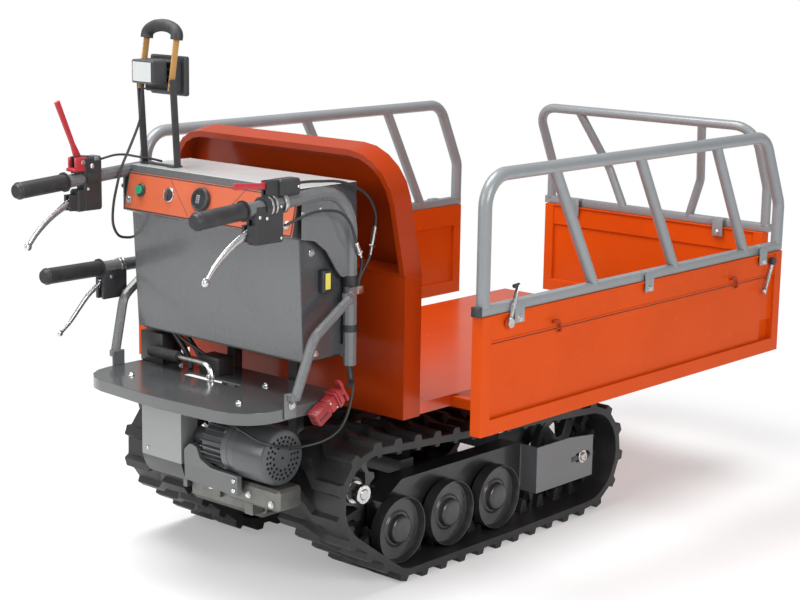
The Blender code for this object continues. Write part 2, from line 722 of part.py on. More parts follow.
def side_board():
    """Side board with end posts, stepped recesses and two slide bars under its foot."""
    outer, inner = BOARD_OUTER_Y, BOARD_INNER_Y
    board = box("side_panel", (0.0, inner, BOARD_BOTTOM), (BOARD_LENGTH, outer, BOARD_TOP))
    left, right = POST_WIDTH, BOARD_LENGTH - POST_WIDTH
    step = BOARD_TOP - 0.055
    foot = BOARD_BOTTOM + 0.032
    past = outer + 0.01
    board = cut(board, box("upper", (left, outer - RECESS * 0.45, step), (right, past, BOARD_TOP - 0.004)))
    board = cut(board, box("lower", (left, outer - RECESS, foot), (right, past, step + 0.0002)))
    board = cut(board, box("inner", (left, inner - 0.01, foot), (right, inner + RECESS, step)))
    board = cut(board, box("pocket", (right - 0.045, outer - 0.018, foot), (right, past, foot + 0.045)))
    for x in SIDE_BAR_X:
        bar = box("bar", (x - SLIDE_BAR_WIDTH / 2, 0.215, SLIDE_BAR_LOW),
                  (x + SLIDE_BAR_WIDTH / 2, inner + 0.004, SLIDE_BAR_HIGH))
        board = join(board, bar)
    return tidy(board)


def front_board():
    half = FRONT_HALF_WIDTH
    near, far = FRONT_BOARD_X, FRONT_BOARD_X + BOARD_THICKNESS
    board = box("front_panel", (near, -half, BOARD_BOTTOM), (far, half, BOARD_TOP))
    edge = half - POST_WIDTH
    step = BOARD_TOP - 0.055
    foot = BOARD_BOTTOM + 0.032
    board = cut(board, box("upper", (near - 0.01, -edge, step), (near + RECESS * 0.45, edge, BOARD_TOP - 0.004)))
    board = cut(board, box("lower", (near - 0.01, -edge, foot), (near + RECESS, edge, step + 0.0002)))
    board = cut(board, box("outer", (far - RECESS, -edge, foot), (far + 0.01, edge, BOARD_TOP - 0.02)))
    for y in FRONT_BAR_Y:
        bar = box("bar", (1.000, y - SLIDE_BAR_WIDTH / 2, SLIDE_BAR_LOW),
                  (near + 0.004, y + SLIDE_BAR_WIDTH / 2, SLIDE_BAR_HIGH))
        board = join(board, bar)
    board.name = "front_panel"
    return tidy(board)


def clamp_tab(x, y, low, width=0.030):
    """Strap that wraps the rail's foot tube and runs down the board's outer face."""
    return box("clamp", (x - width / 2, y, low), (x + width / 2, y + 0.004, BOARD_TOP + RAIL_FOOT - 0.001))


def side_rail():
    """Bent cage tube with three slanted bars on a square foot tube, and its clamps."""
    y = BOARD_MID_Y
    foot_low = BOARD_TOP + GAP
    foot_top = BOARD_TOP + RAIL_FOOT
    rail = box("side_rail", (-0.006, y - 0.0100, foot_low), (BOARD_LENGTH + 0.004, y + 0.0100, foot_top))
    rear_x, front_x = 0.015, 1.110
    corners = [(rear_x, y, foot_top - 0.004), (rear_x, y, RAIL_TOP), (1.034, y, RAIL_TOP),
               (front_x, y, RAIL_KNEE), (front_x - 0.001, y, foot_top - 0.004)]
    hoop = tube("hoop", rounded(corners, [0, 0.062, 0.058, 0.050, 0], 4), RAIL_RADIUS, 2)
    rail = join(rail, hoop)
    for top_x, foot_x in ((0.232, 0.377), (0.528, 0.674), (0.825, 0.962)):
        bar = rod("bar", (foot_x, y, foot_top - 0.006), (top_x, y, RAIL_TOP - 0.004), BAR_RADIUS, 8)
        rail = join(rail, bar)
    for x in (0.110, 0.560, 1.026):
        rail = join(rail, clamp_tab(x, BOARD_OUTER_Y + GAP, BOARD_TOP - 0.024))
        wrap = box("wrap", (x - 0.015, y, foot_top - 0.006),
                   (x + 0.015, BOARD_OUTER_Y + 0.004, foot_top + 0.002))
        rail = join(rail, wrap)
    return tidy(rail)


def front_rail():
    """Front cage: four bent uprights under a round-cornered top, leaning back above the knee."""
    x = FRONT_BOARD_X + BOARD_THICKNESS / 2 + 0.006
    foot_top = BOARD_TOP + RAIL_FOOT
    half = 0.336
    rail = box("front_rail", (x - 0.0100, -half - 0.016, BOARD_TOP + GAP), (x + 0.0100, half + 0.016, foot_top))
    top_x = x - FRONT_RAIL_LEAN
    top_z = RAIL_TOP - 0.006
    corners = [(x, half, foot_top - 0.004), (x, half, RAIL_KNEE), (top_x, half, top_z),
               (top_x, -half, top_z), (x, -half, RAIL_KNEE), (x, -half, foot_top - 0.004)]
    hoop = tube("hoop", rounded(corners, [0, 0.045, 0.058, 0.058, 0.045, 0], 4), BAR_RADIUS, 2)
    rail = join(rail, hoop)
    for top_y, knee_y, foot_y in ((0.198, 0.145, 0.097), (-0.182, -0.140, -0.110)):
        corners = [(x, foot_y, foot_top - 0.006), (x, knee_y, RAIL_KNEE), (top_x, top_y, top_z - 0.004)]
        rail = join(rail, tube("bar", rounded(corners, [0, 0.045, 0], 2), BAR_RADIUS - 0.001, 2))
    near = FRONT_BOARD_X - GAP
    wrap_top = foot_top + 0.002
    for y in (0.242, -0.211):
        low, high = y - 0.015, y + 0.015
        rail = join(rail, box("clamp", (near - 0.004, low, BOARD_TOP - 0.024), (near, high, wrap_top)))
        rail = join(rail, box("wrap", (near - 0.004, low, foot_top - 0.006), (x, high, wrap_top)))
    rail.name = "front_rail"
    return tidy(rail)


LATCH_Y = BOARD_OUTER_Y + 0.0050


def latch(pivot_x, pivot_z, tip_x, tip_z):
    """Over-centre lever on the board's outer face, with a hooked black end."""
    y = LATCH_Y
    base = rod("latch", (pivot_x, BOARD_OUTER_Y + GAP, pivot_z), (pivot_x, y + 0.005, pivot_z), 0.010, 8)
    along = Vector((tip_x - pivot_x, 0, tip_z - pivot_z))
    across = Vector((along.z, 0, -along.x)).normalized()
    if across.x > 0:
        across = -across
    start = Vector((pivot_x, y, pivot_z))
    tip = start + along
    blade = tube("blade", [start, start + along * 0.5, tip, tip + across * 0.012 - along.normalized() * 0.006],
                 0.0045, 2)
    return pivot(join(base, blade), (pivot_x, y, pivot_z))


# Operator's end

def step_plate():
    """Pressed base plate with a rolled rim and a slot for the gear lever."""
    front, rear = -0.108, -0.380
    half = PLATE_HALF_WIDTH
    corners = [(front, half), (rear, half), (rear - 0.018, 0.0), (rear, -half), (front, -half)]
    outline = rounded(corners, [0.012, 0.085, 0.40, 0.085, 0.012], 4, True)
    plate_obj = plate("step_plate", [outline], PLATE_TOP - PLATE_RIM, PLATE_TOP, "XY")
    wall = 0.006
    corners = [(front - wall, half - wall), (rear + wall, half - wall), (rear - 0.018 + wall, 0.0),
               (rear + wall, -half + wall), (front - wall, -half + wall)]
    hollow = rounded(corners, [0.006, 0.079, 0.39, 0.079, 0.006], 4, True)
    plate_obj = cut(plate_obj, plate("hollow", [hollow], PLATE_TOP - PLATE_RIM - 0.01, PLATE_TOP - 0.004, "XY"))
    slot = rounded([(-0.234, -0.062), (-0.212, -0.062), (-0.212, 0.100), (-0.234, 0.100)], 0.0105, 2, True)
    plate_obj = cut(plate_obj, plate("slot", [slot], 0.38, 0.43, "XY"))
    return tidy(plate_obj)


def console_profile(inset=0.0):
    """Side outline of the console: leaning back face, flared panel bay, flat lid."""
    rear = -0.224 + inset
    return [(rear, CONSOLE_BOTTOM), (-0.2370 + inset, 0.7330), (-0.2560 + inset, 0.7380 + inset * 0.3),
            (-0.2380 + inset, 0.8180), (-0.2380 + inset, CONSOLE_TOP - inset),
            (CONSOLE_FRONT - inset, CONSOLE_TOP - inset), (CONSOLE_FRONT - inset, CONSOLE_BOTTOM)]


def console_box():
    half = CONSOLE_HALF_WIDTH
    shell = plate("console_box", [console_profile()], -half, half)
    hollow = console_profile(SHEET)
    hollow[0] = (hollow[0][0], CONSOLE_BOTTOM - 0.01)
    hollow[-1] = (hollow[-1][0], CONSOLE_BOTTOM - 0.01)
    return tidy(cut(shell, plate("hollow", [hollow], -half + SHEET, half - SHEET)))


PANEL_LOW = Vector((-0.2562, 0.0, 0.7395))
PANEL_HIGH = Vector((-0.2385, 0.0, 0.8165))
PANEL_UP = (PANEL_HIGH - PANEL_LOW).normalized()
PANEL_OUT = Vector((-PANEL_UP.z, 0.0, PANEL_UP.x))


def on_panel(y, fraction, out=0.0):
    point = PANEL_LOW.lerp(PANEL_HIGH, fraction) + PANEL_OUT * out
    return (point.x, y, point.z)


def control_panel():
    """Thin facia with holes for the start button and the key switch."""
    thick = 0.0035
    low = PANEL_LOW + PANEL_OUT * GAP
    high = PANEL_HIGH + PANEL_OUT * GAP
    outline = [low, high, high + PANEL_OUT * thick, low + PANEL_OUT * thick]
    facia = plate("control_panel", [[(p.x, p.z) for p in outline]], -0.2465, 0.2465)
    return tidy(facia)


def panel_round(name, y, fraction, radius, low, high, sides=16):
    return rod(name, on_panel(y, fraction, low), on_panel(y, fraction, high), radius, sides)


PANEL_FACE = GAP + 0.0035


def charge_gauge():
    gauge = panel_round("charge_gauge", 0.014, 0.56, 0.0225, PANEL_FACE + GAP, PANEL_FACE + 0.009, 20)
    face = panel_round("face", 0.014, 0.56, 0.0185, PANEL_FACE + 0.0065, PANEL_FACE + 0.012, 20)
    return tidy(cut(gauge, face))


def key_switch():
    key = panel_round("key_switch", 0.114, 0.55, 0.0115, PANEL_FACE + GAP, PANEL_FACE + 0.004, 16)
    centre = Vector(on_panel(0.114, 0.55, PANEL_FACE + 0.009))
    bow = box("bow", (-0.006, -0.0012, -0.010), (0.006, 0.0012, 0.010))
    bow.data.transform(Matrix.Translation(centre) @ PANEL_OUT.to_track_quat("X", "Z").to_matrix().to_4x4())
    return pivot(join(key, bow), on_panel(0.114, 0.55, PANEL_FACE + 0.002))


def start_button():
    button = panel_round("start_button", 0.200, 0.56, 0.0095, PANEL_FACE + 0.0040, PANEL_FACE + 0.009, 16)
    return pivot(button, on_panel(0.200, 0.56, PANEL_FACE + 0.0065))


def handlebar():
    """Bent bar with a gusset in its corner and two spacers to the console."""
    y = BAR_Y
    corners = [(BAR_X, y, 0.470), (BAR_X, y, 0.826), (GRIP_END[0] + 0.004, y, GRIP_END[1])]
    bar = tube("handlebar", rounded(corners, [0, 0.080, 0], 5), TUBE_RADIUS, 3)
    corners = [(-0.245, 0.812), (-0.150, 0.818), (-0.112, 0.780), (-0.112, 0.655), (-0.134, 0.648),
               (-0.152, 0.668), (-0.178, 0.706), (-0.210, 0.730), (-0.245, 0.736)]
    gusset = plate("gusset", [rounded(corners, [0, 0, 0, 0.006, 0.008, 0.02, 0.02, 0.02, 0], 1, True)],
                   y - 0.002, y + 0.002)
    bar = join(bar, gusset)
    for x, z in ((-0.200, 0.745), (-0.110, 0.500)):
        spacer = box("spacer", (x - 0.012, CONSOLE_HALF_WIDTH + GAP, z - 0.012), (x + 0.012, y, z + 0.012))
        bar = join(bar, spacer)
    return tidy(bar)


def grip(y, start, end, name, core=TUBE_RADIUS):
    """Ribbed rubber sleeve with a flange and a domed end."""
    start, end = Vector((start[0], y, start[1])), Vector((end[0], y, end[1]))
    along = (end - start).normalized()
    sleeve = rod(name, start, end - along * 0.006, 0.0172, 12)
    flange = rod("flange", start, start + along * 0.004, 0.0205, 12)
    end_cap = rod("cap", end - along * 0.010, end, 0.0182, 12, 0.0135)
    sleeve = join(sleeve, flange, end_cap)
    bore = rod("bore", start - along * 0.01, end - along * 0.0035, core + 0.0008, 12)
    return tidy(cut(sleeve, bore))


# Blocks and ears of each lever bracket, as (rear X, low Z) and (front X, high Z)
BRACKET_BLOCKS = {
    LEFT: [((-0.3585, 0.7450), (-0.3120, 0.8555)), ((-0.3760, 0.7450), (-0.3540, 0.7900))],
    RIGHT: [((-0.3800, 0.7414), (-0.3060, 0.8160)), ((-0.3160, 0.8270), (-0.2620, 0.8588))],
}
BRACKET_EARS = {
    LEFT: ((-0.3755, 0.8220), (-0.3420, 0.8570)),
    RIGHT: ((-0.3450, 0.8220), (-0.3140, 0.8588)),
}
BLOCK_HALF_WIDTH = 0.0150
EAR_HALF_WIDTH = 0.0080
EAR_SLOT_HALF_WIDTH = 0.0034
THUMB_PIVOTS = {LEFT: (-0.3605, 0.8455), RIGHT: (-0.330, 0.8480)}
THUMB_ANGLES = {LEFT: math.radians(67), RIGHT: math.radians(4)}
THUMB_LENGTHS = {LEFT: 0.136, RIGHT: 0.092}


def lever_bracket(side, name):
    """Clamp ring round the bar and the black blocks that carry the two levers."""
    y = side * BAR_Y
    along = (Vector((GRIP_START[0], 0, GRIP_START[1])) - Vector((-0.200, 0, 0.8203))).normalized()
    middle = Vector((-0.200, y, 0.8203)) + along * 0.140
    bracket = rod(name, middle - along * 0.014, middle + along * 0.014, 0.0195, 12)
    half = BLOCK_HALF_WIDTH
    for (x_low, z_low), (x_high, z_high) in BRACKET_BLOCKS[side]:
        block = box("block", (x_low, y - half, z_low), (x_high, y + half, z_high), 0.004)
        bracket = join(bracket, block)
    bracket = join(bracket, box("fork", (-0.392, y - 0.0110, 0.748), (-0.366, y + 0.0110, 0.780)))
    (x_low, z_low), (x_high, z_high) = BRACKET_EARS[side]
    ears = box("ears", (x_low, y - EAR_HALF_WIDTH, z_low), (x_high, y + EAR_HALF_WIDTH, z_high))
    bracket = join(bracket, ears)
    slot_front = THUMB_PIVOTS[side][0] + 0.0100
    bracket = cut(bracket, box("slot", (-0.400, y - EAR_SLOT_HALF_WIDTH, 0.8320),
                               (slot_front, y + EAR_SLOT_HALF_WIDTH, 0.900)))
    bracket = cut(bracket, rod("bore", middle - along * 0.20, middle + along * 0.05, TUBE_RADIUS + 0.0008, 12))
    bracket = cut(bracket, box("slit", (-0.400, y - 0.0042, 0.740), (-0.3740, y + 0.0042, 0.790)))
    bracket.name = name
    return tidy(bracket)


SQUEEZE_PIVOT = (-0.3840, 0.7640)


def squeeze_lever(y):
    """Curved brake-type lever that hangs under the grip and closes towards it."""
    x, z = SQUEEZE_PIVOT
    spine = [(-0.3860, 0.7640), (-0.4060, 0.7500), (-0.4380, 0.7310), (-0.4700, 0.7080), (-0.4920, 0.6880)]
    upper = [(a, b + 0.0048) for a, b in spine]
    lower = [(a - 0.002, b - 0.0048) for a, b in reversed(spine)]
    blade = plate("lever", [upper + lower], y - 0.0035, y + 0.0035)
    boss = rod("boss", (x, y - 0.0038, z), (x, y + 0.0038, z), 0.0085, 8)
    tip_x, tip_z = spine[-1]
    knob = rod("knob", (tip_x, y - 0.0055, tip_z - 0.003), (tip_x, y + 0.0055, tip_z - 0.003), 0.0085, 8)
    return pivot(tidy(join(blade, boss, knob)), (x, y, z))


def thumb_lever(side, name):
    """Red lever between the clamp's ears; the angle is measured up from level, rearwards."""
    x, z = THUMB_PIVOTS[side]
    y = side * BAR_Y
    length = THUMB_LENGTHS[side]
    lever = rod(name, (0, -0.0031, 0), (0, 0.0031, 0), 0.0085, 8)
    width = 0.0085
    corners = [(0.0, -0.005), (-length * 0.55, -0.006), (-length + 0.012, -width), (-length, -0.004),
               (-length, 0.009), (-length + 0.020, width * 0.6), (-length * 0.55, 0.005), (0.0, 0.006)]
    lever = join(lever, plate("blade", [corners], -0.0029, 0.0029))
    lever.name = name
    lever.data.transform(Matrix.Translation((x, y, z)) @ Matrix.Rotation(THUMB_ANGLES[side], 4, "Y"))
    return pivot(tidy(lever), (x, y, z))


def stay():
    """Brace with flattened ends from the handlebar down to the base plate's rim."""
    corners = [(-0.138, 0.2850, 0.610), (-0.232, 0.2820, 0.547), (-0.268, 0.2690, 0.432)]
    brace = tube("stay", rounded(corners, [0, 0.045, 0], 3), 0.0100, 2)
    top = plate("top", [ring_points((-0.126, 0.617), 0.0135, 12)], 0.2758, 0.2808)
    link = box("link", (-0.150, 0.2758, 0.598), (-0.124, 0.2868, 0.622), 0.002, 1)
    tab = box("tab", (-0.286, 0.2538, 0.388), (-0.254, 0.2592, 0.440), 0.002, 1)
    foot = box("foot", (-0.281, 0.2545, 0.425), (-0.258, 0.2740, 0.440), 0.002, 1)
    return tidy(join(brace, link, top, foot, tab))


# Lamp

def lamp_mast():
    """Two flat bars on feet on the console's lid, leaning back to the lamp's pivot bolts."""
    foot, top = MAST_FOOT_X, LAMP_TILT_AXIS[0] - 0.0005
    low_z, high_z = CONSOLE_TOP + GAP, LAMP_TILT_AXIS[1] + 0.011
    base = box("lamp_mast", (foot - 0.006, LAMP_Y - MAST_HALF_SPREAD, low_z),
               (foot + 0.006, LAMP_Y + MAST_HALF_SPREAD, CONSOLE_TOP + 0.0035))
    bar = [(foot - 0.008, low_z), (foot + 0.008, low_z), (top + 0.008, high_z), (top - 0.008, high_z)]
    for side in (-1, 1):
        y = LAMP_Y + side * MAST_HALF_SPREAD
        base = join(base, plate("bar", [bar], y - 0.002, y + 0.002))
        low, high = sorted((y + side * 0.002, y - side * 0.020))
        base = join(base, box("foot", (foot - 0.012, low, low_z), (foot + 0.012, high, CONSOLE_TOP + 0.0035)))
    return tidy(base)


def lamp_head():
    """Square floodlight in front of the mast, finned back, with its driver box behind."""
    y = LAMP_Y
    half = 0.0430
    wide = 0.0545
    head = box("lamp_head", (-0.2110, y - half, 0.984), (-0.184, y + half, 1.050), 0.003)
    rim = box("rim", (-0.1860, y - wide, 0.9765), (-0.1720, y + wide, 1.0570), 0.003)
    head = join(head, rim)
    head = cut(head, box("glass", (-0.1750, y - wide + 0.009, 0.9855), (-0.160, y + wide - 0.009, 1.0480)))
    for k in range(5):
        z = 0.987 + 0.0145 * k
        head = join(head, box("fin", (-0.2190, y - half + 0.004, z), (-0.2090, y + half - 0.004, z + 0.003)))
    head = join(head, box("driver", (-0.2570, y - 0.0370, 1.003), (-0.2170, y + 0.0300, 1.051), 0.003))
    return pivot(tidy(head), (LAMP_TILT_AXIS[0], y, LAMP_TILT_AXIS[1]))


def lamp_handle():
    """Bail over the lamp, leaning forwards: flat legs and a foam-covered grip."""
    y = LAMP_Y
    x, z = LAMP_TILT_AXIS
    half = 0.0458
    leg_top, arch = 1.0985, 1.1185
    lean = 0.0195 / (arch - z)
    ends = [(x + lean * (leg_top - z), leg_top), (x + lean * (arch - z), arch)]
    corners = [(ends[0][0], y - half, leg_top), (ends[1][0], y - half * 0.66, arch),
               (ends[1][0], y + half * 0.66, arch), (ends[0][0], y + half, leg_top)]
    foam = tube("lamp_handle", rounded(corners, [0, 0.026, 0.026, 0], 3), 0.0130, 2)
    high_x = ends[0][0] + lean * 0.010
    leg = [(x - 0.008, z - 0.014), (x + 0.008, z - 0.014), (high_x + 0.007, leg_top + 0.010),
           (high_x - 0.007, leg_top + 0.010)]
    for side in (-1, 1):
        foam = join(foam, plate("leg", [leg], y + side * half - 0.0015, y + side * half + 0.0015))
    return pivot(tidy(foam), (x, y, z))


# Gear lever, connector and leads

GEAR_X = -0.2230


def gear_lever():
    """Bent rod through the base plate's slot with a black grip to the left."""
    y = 0.020
    corners = [(GEAR_X, y, 0.178), (GEAR_X, y, 0.4405), (GEAR_X, 0.125, 0.4405)]
    bar = tube("gear_lever", rounded(corners, [0, 0.022, 0], 3), 0.0055, 2)
    knob = rod("knob", (GEAR_X, 0.118, 0.4405), (GEAR_X, 0.206, 0.4405), 0.0125, 12)
    collar = rod("collar", (GEAR_X, y, 0.4115), (GEAR_X, y, 0.4175), 0.0090, 12)
    return pivot(tidy(join(bar, knob, collar)), (GEAR_X, y, 0.410))


def power_connector():
    """Red two-part battery connector with a finger bar on its plug half."""
    along = Vector((0.860, 0.0, 0.510)).normalized()
    across = Vector((-along.z, 0.0, along.x))
    middle = Vector((-0.186, -0.2790, 0.4060))
    turn = Matrix((along, (0, 1, 0), across)).transposed().to_4x4()
    turn.translation = middle
    body = box("power_connector", (-0.048, -0.0130, -0.0150), (0.030, 0.0130, 0.0150), 0.002, 1)
    plug = box("plug", (0.012, -0.0145, -0.0175), (0.034, 0.0145, 0.0175), 0.002, 1)
    bar = box("bar", (0.040, -0.0060, -0.0260), (0.047, 0.0060, 0.0260), 0.002, 1)
    neck = box("neck", (0.028, -0.0050, -0.0070), (0.044, 0.0050, 0.0070))
    whole = join(body, plug, neck, bar)
    whole.data.transform(turn)
    return tidy(whole)


def smooth_points(route, per_span=4):
    """A smooth curve through the route's points."""
    route = [Vector(p) for p in route]
    ends = [route[0] * 2 - route[1]] + route + [route[-1] * 2 - route[-2]]
    points = []
    for i in range(1, len(ends) - 2):
        a, b, c, d = ends[i - 1:i + 3]
        for k in range(per_span):
            t = k / per_span
            points.append(0.5 * (2 * b + (c - a) * t + (2 * a - 5 * b + 4 * c - d) * t * t
                                 + (3 * b - a - 3 * c + d) * t ** 3))
    points.append(route[-1])
    return points


POWER_ROUTE = [(-0.1100, -0.2600, 0.4690), (-0.1090, -0.2620, 0.4500), (-0.1130, -0.2700, 0.4360),
               (-0.1300, -0.2780, 0.4345)]
MOTOR_ROUTE = [(-0.1050, -0.2600, 0.4680), (-0.0950, -0.2580, 0.4300), (-0.0980, -0.2580, 0.4045),
               (-0.1120, -0.2580, 0.3660), (-0.1310, -0.2520, 0.3360), (-0.1620, -0.2390, 0.3185),
               (-0.2080, -0.2225, 0.3125), (-0.2493, -0.2215, 0.3197), (-0.2880, -0.2225, 0.3320),
               (-0.3050, -0.2000, 0.3420), (-0.2990, -0.1650, 0.3470), (-0.2900, -0.1250, 0.3520),
               (-0.2620, -0.1120, 0.3550)]
UPPER_CABLE_ROUTE = [(-0.2610, -0.2620, 0.8470), (-0.2400, -0.2625, 0.8470), (-0.2030, -0.2630, 0.8450),
                     (-0.1350, -0.2630, 0.8370), (-0.0710, -0.2630, 0.8090), (-0.0430, -0.2630, 0.7730),
                     (-0.0410, -0.2630, 0.7410), (-0.0540, -0.2620, 0.6840), (-0.0780, -0.2600, 0.6470),
                     (-0.0850, -0.2590, 0.6240)]
LOWER_CABLE_ROUTE = [(-0.3050, -0.2740, 0.7720), (-0.2850, -0.2800, 0.7790), (-0.2580, -0.2850, 0.7880),
                     (-0.2210, -0.2860, 0.7920), (-0.1700, -0.2860, 0.7850), (-0.1380, -0.2860, 0.7600),
                     (-0.1200, -0.2860, 0.7200), (-0.0990, -0.2800, 0.6880), (-0.0870, -0.2680, 0.6620),
                     (-0.0880, -0.2570, 0.6240)]
LEFT_CABLE_ROUTE = [(-0.3090, 0.2575, 0.8470), (-0.2750, 0.2540, 0.8530), (-0.2500, 0.2480, 0.8525),
                    (-0.2300, 0.2370, 0.8480), (-0.2050, 0.2240, 0.8430), (-0.1800, 0.2150, 0.8360)]
LAMP_ROUTE = [(-0.2380, 0.2060, 1.0026), (-0.2375, 0.2080, 0.9850), (-0.2310, 0.2200, 0.9500),
              (-0.2280, 0.2290, 0.9200), (-0.2470, 0.2370, 0.8700), (-0.2680, 0.2390, 0.8300),
              (-0.2815, 0.2395, 0.7900), (-0.2885, 0.2430, 0.7500), (-0.2840, 0.2500, 0.7110),
              (-0.2640, 0.2570, 0.6840), (-0.2400, 0.2560, 0.6770), (-0.2285, 0.2510, 0.6785),
              (-0.2270, 0.2468, 0.6790)]


def tipping_handle():
    """Level tube bolted to the head board's rear, with the lever's bracket at its far end."""
    y, z = TIP_HANDLE_Y, TIP_HANDLE_Z
    front = HEAD_FRONT - HEAD_DEPTH - GAP
    bar = tube("tipping_handle", [(front - 0.002, y, z), (TIP_GRIP_END + 0.006, y, z)], 0.0105, 2)
    bar = join(bar, box("pad", (front - 0.004, y - 0.018, z - 0.026), (front, y + 0.0120, z + 0.026)))
    bar = join(bar, box("ring", (-0.240, y - 0.0135, z - 0.013), (-0.214, y + 0.0135, z + 0.013), 0.003))
    outline = [(-0.285, 0.5735), (-0.264, 0.5700), (-0.210, 0.5960), (-0.210, 0.6085), (-0.244, 0.6085),
               (-0.256, 0.5872), (-0.285, 0.5872)]
    for low, high in ((0.0050, 0.0085), (-0.0085, -0.0050)):
        bar = join(bar, plate("cheek", [outline], y + low, y + high))
    bar.name = "tipping_handle"
    return tidy(bar)


def tipping_lever():
    """Release lever hanging under the tipping grip."""
    y = TIP_HANDLE_Y
    x, z = TIP_LEVER_PIVOT
    spine = [(x, z), (x - 0.034, z - 0.022), (x - 0.062, z - 0.050), (x - 0.084, z - 0.073),
             (x - 0.112, z - 0.095)]
    upper = [(a - 0.002, b + 0.0052) for a, b in spine]
    lower = [(a + 0.001, b - 0.0052) for a, b in reversed(spine)]
    lever = plate("tipping_lever", [upper + lower], y - 0.0035, y + 0.0035)
    boss = rod("boss", (x, y - 0.0046, z), (x, y + 0.0046, z), 0.0072, 8)
    return pivot(tidy(join(lever, boss)), (x, y, z))


def cable_right():
    """Two sheathed cables with their adjusters, held in one bracket beside the console."""
    upper = tube("cable_right", smooth_points(UPPER_CABLE_ROUTE, 2), 0.0028, 2)
    lower = tube("lower", smooth_points(LOWER_CABLE_ROUTE, 2), 0.0028, 2)
    bracket = box("bracket", (-0.0955, -0.2680, 0.6110), (-0.0770, -0.2453, 0.6270), 0.001, 1)
    first = rod("adjuster", UPPER_CABLE_ROUTE[6], UPPER_CABLE_ROUTE[7], 0.0046, 8)
    second = rod("adjuster", LOWER_CABLE_ROUTE[6], LOWER_CABLE_ROUTE[7], 0.0046, 8)
    return tidy(join(upper, bracket, first, lower, second))


def power_leads():
    """Battery lead out of the handlebar's foot with the motor's thin lead beside it."""
    lead = tube("power_leads", smooth_points(POWER_ROUTE, 2), 0.0055, 2)
    return tidy(join(lead, tube("motor_lead", smooth_points(MOTOR_ROUTE, 2), 0.0028, 2)))


def assemble():
    both_sides("rubber_track", rubber_track(), "rubber")
    both_sides("track_frame", track_frame(), "dark_paint")
    for number, x in enumerate(WHEEL_X, 1):
        both_sides("road_wheel_%d" % number, road_wheel(x), "dark_paint")
    both_sides("idler", idler(), "dark_paint")
    both_sides("drive_sprocket", sprocket(), "dark_paint")
    finish_with(main_frame(), "dark_paint")
    finish_with(transmission(), "cast")
    finish_with(drive_cover(), "silver_paint")
    finish_with(drive_motor(), "grey_paint")
    finish_with(pivot(deck(), (TIP_AXIS[0], 0, TIP_AXIS[1])), "orange")
    finish_with(head_board(), "orange")
    both_sides("side_panel", side_board(), "orange")
    finish_with(front_board(), "orange")
    both_sides("side_rail", side_rail(), "silver_paint")
    finish_with(front_rail(), "silver_paint")
    both_sides("latch_rear", latch(0.077, 0.566, 0.100, 0.640), "steel")
    both_sides("latch_front", latch(1.066, 0.566, 1.036, 0.494), "steel")
    finish_with(step_plate(), "grey_paint")
    finish_with(console_box(), "grey_paint")
    finish_with(control_panel(), "orange")
    finish_with(charge_gauge(), "black_plastic")
    finish_with(key_switch(), "steel")
    finish_with(start_button(), "green")
    both_sides("handlebar", handlebar(), "silver_paint")
    both_sides("stay", stay(), "silver_paint")
    both_sides("grip", grip(BAR_Y, GRIP_START, GRIP_END, "grip"), "black_plastic")
    both_sides("squeeze_lever", squeeze_lever(BAR_Y), "steel")
    for word, side in SIDES.items():
        finish_with(lever_bracket(side, "lever_bracket_" + word), "black_plastic")
        finish_with(thumb_lever(side, "thumb_lever_" + word), "red")
    finish_with(tipping_handle(), "orange")
    tip_grip = grip(TIP_HANDLE_Y, (TIP_GRIP_START, TIP_HANDLE_Z), (TIP_GRIP_END, TIP_HANDLE_Z),
                    "tipping_grip", 0.0105)
    finish_with(tip_grip, "black_plastic")
    finish_with(tipping_lever(), "orange")
    finish_with(cable_right(), "black_plastic")
    finish_with(tube("cable_left", smooth_points(LEFT_CABLE_ROUTE, 2), 0.0030, 2), "black_plastic")
    finish_with(tube("lamp_lead", smooth_points(LAMP_ROUTE, 2), 0.0032, 2), "black_plastic")
    finish_with(lamp_mast(), "black_plastic")
    finish_with(lamp_head(), "black_plastic")
    finish_with(lamp_handle(), "tan")
    finish_with(gear_lever(), "steel")
    finish_with(power_connector(), "red")
    finish_with(power_leads(), "black_plastic")


assemble()
for part in PARTS.objects:
    part.location.x -= CENTRE_X
    part.data.shade_smooth()
    part.data.set_sharp_from_angle(angle=math.radians(35))
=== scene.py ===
# %% [markdown]
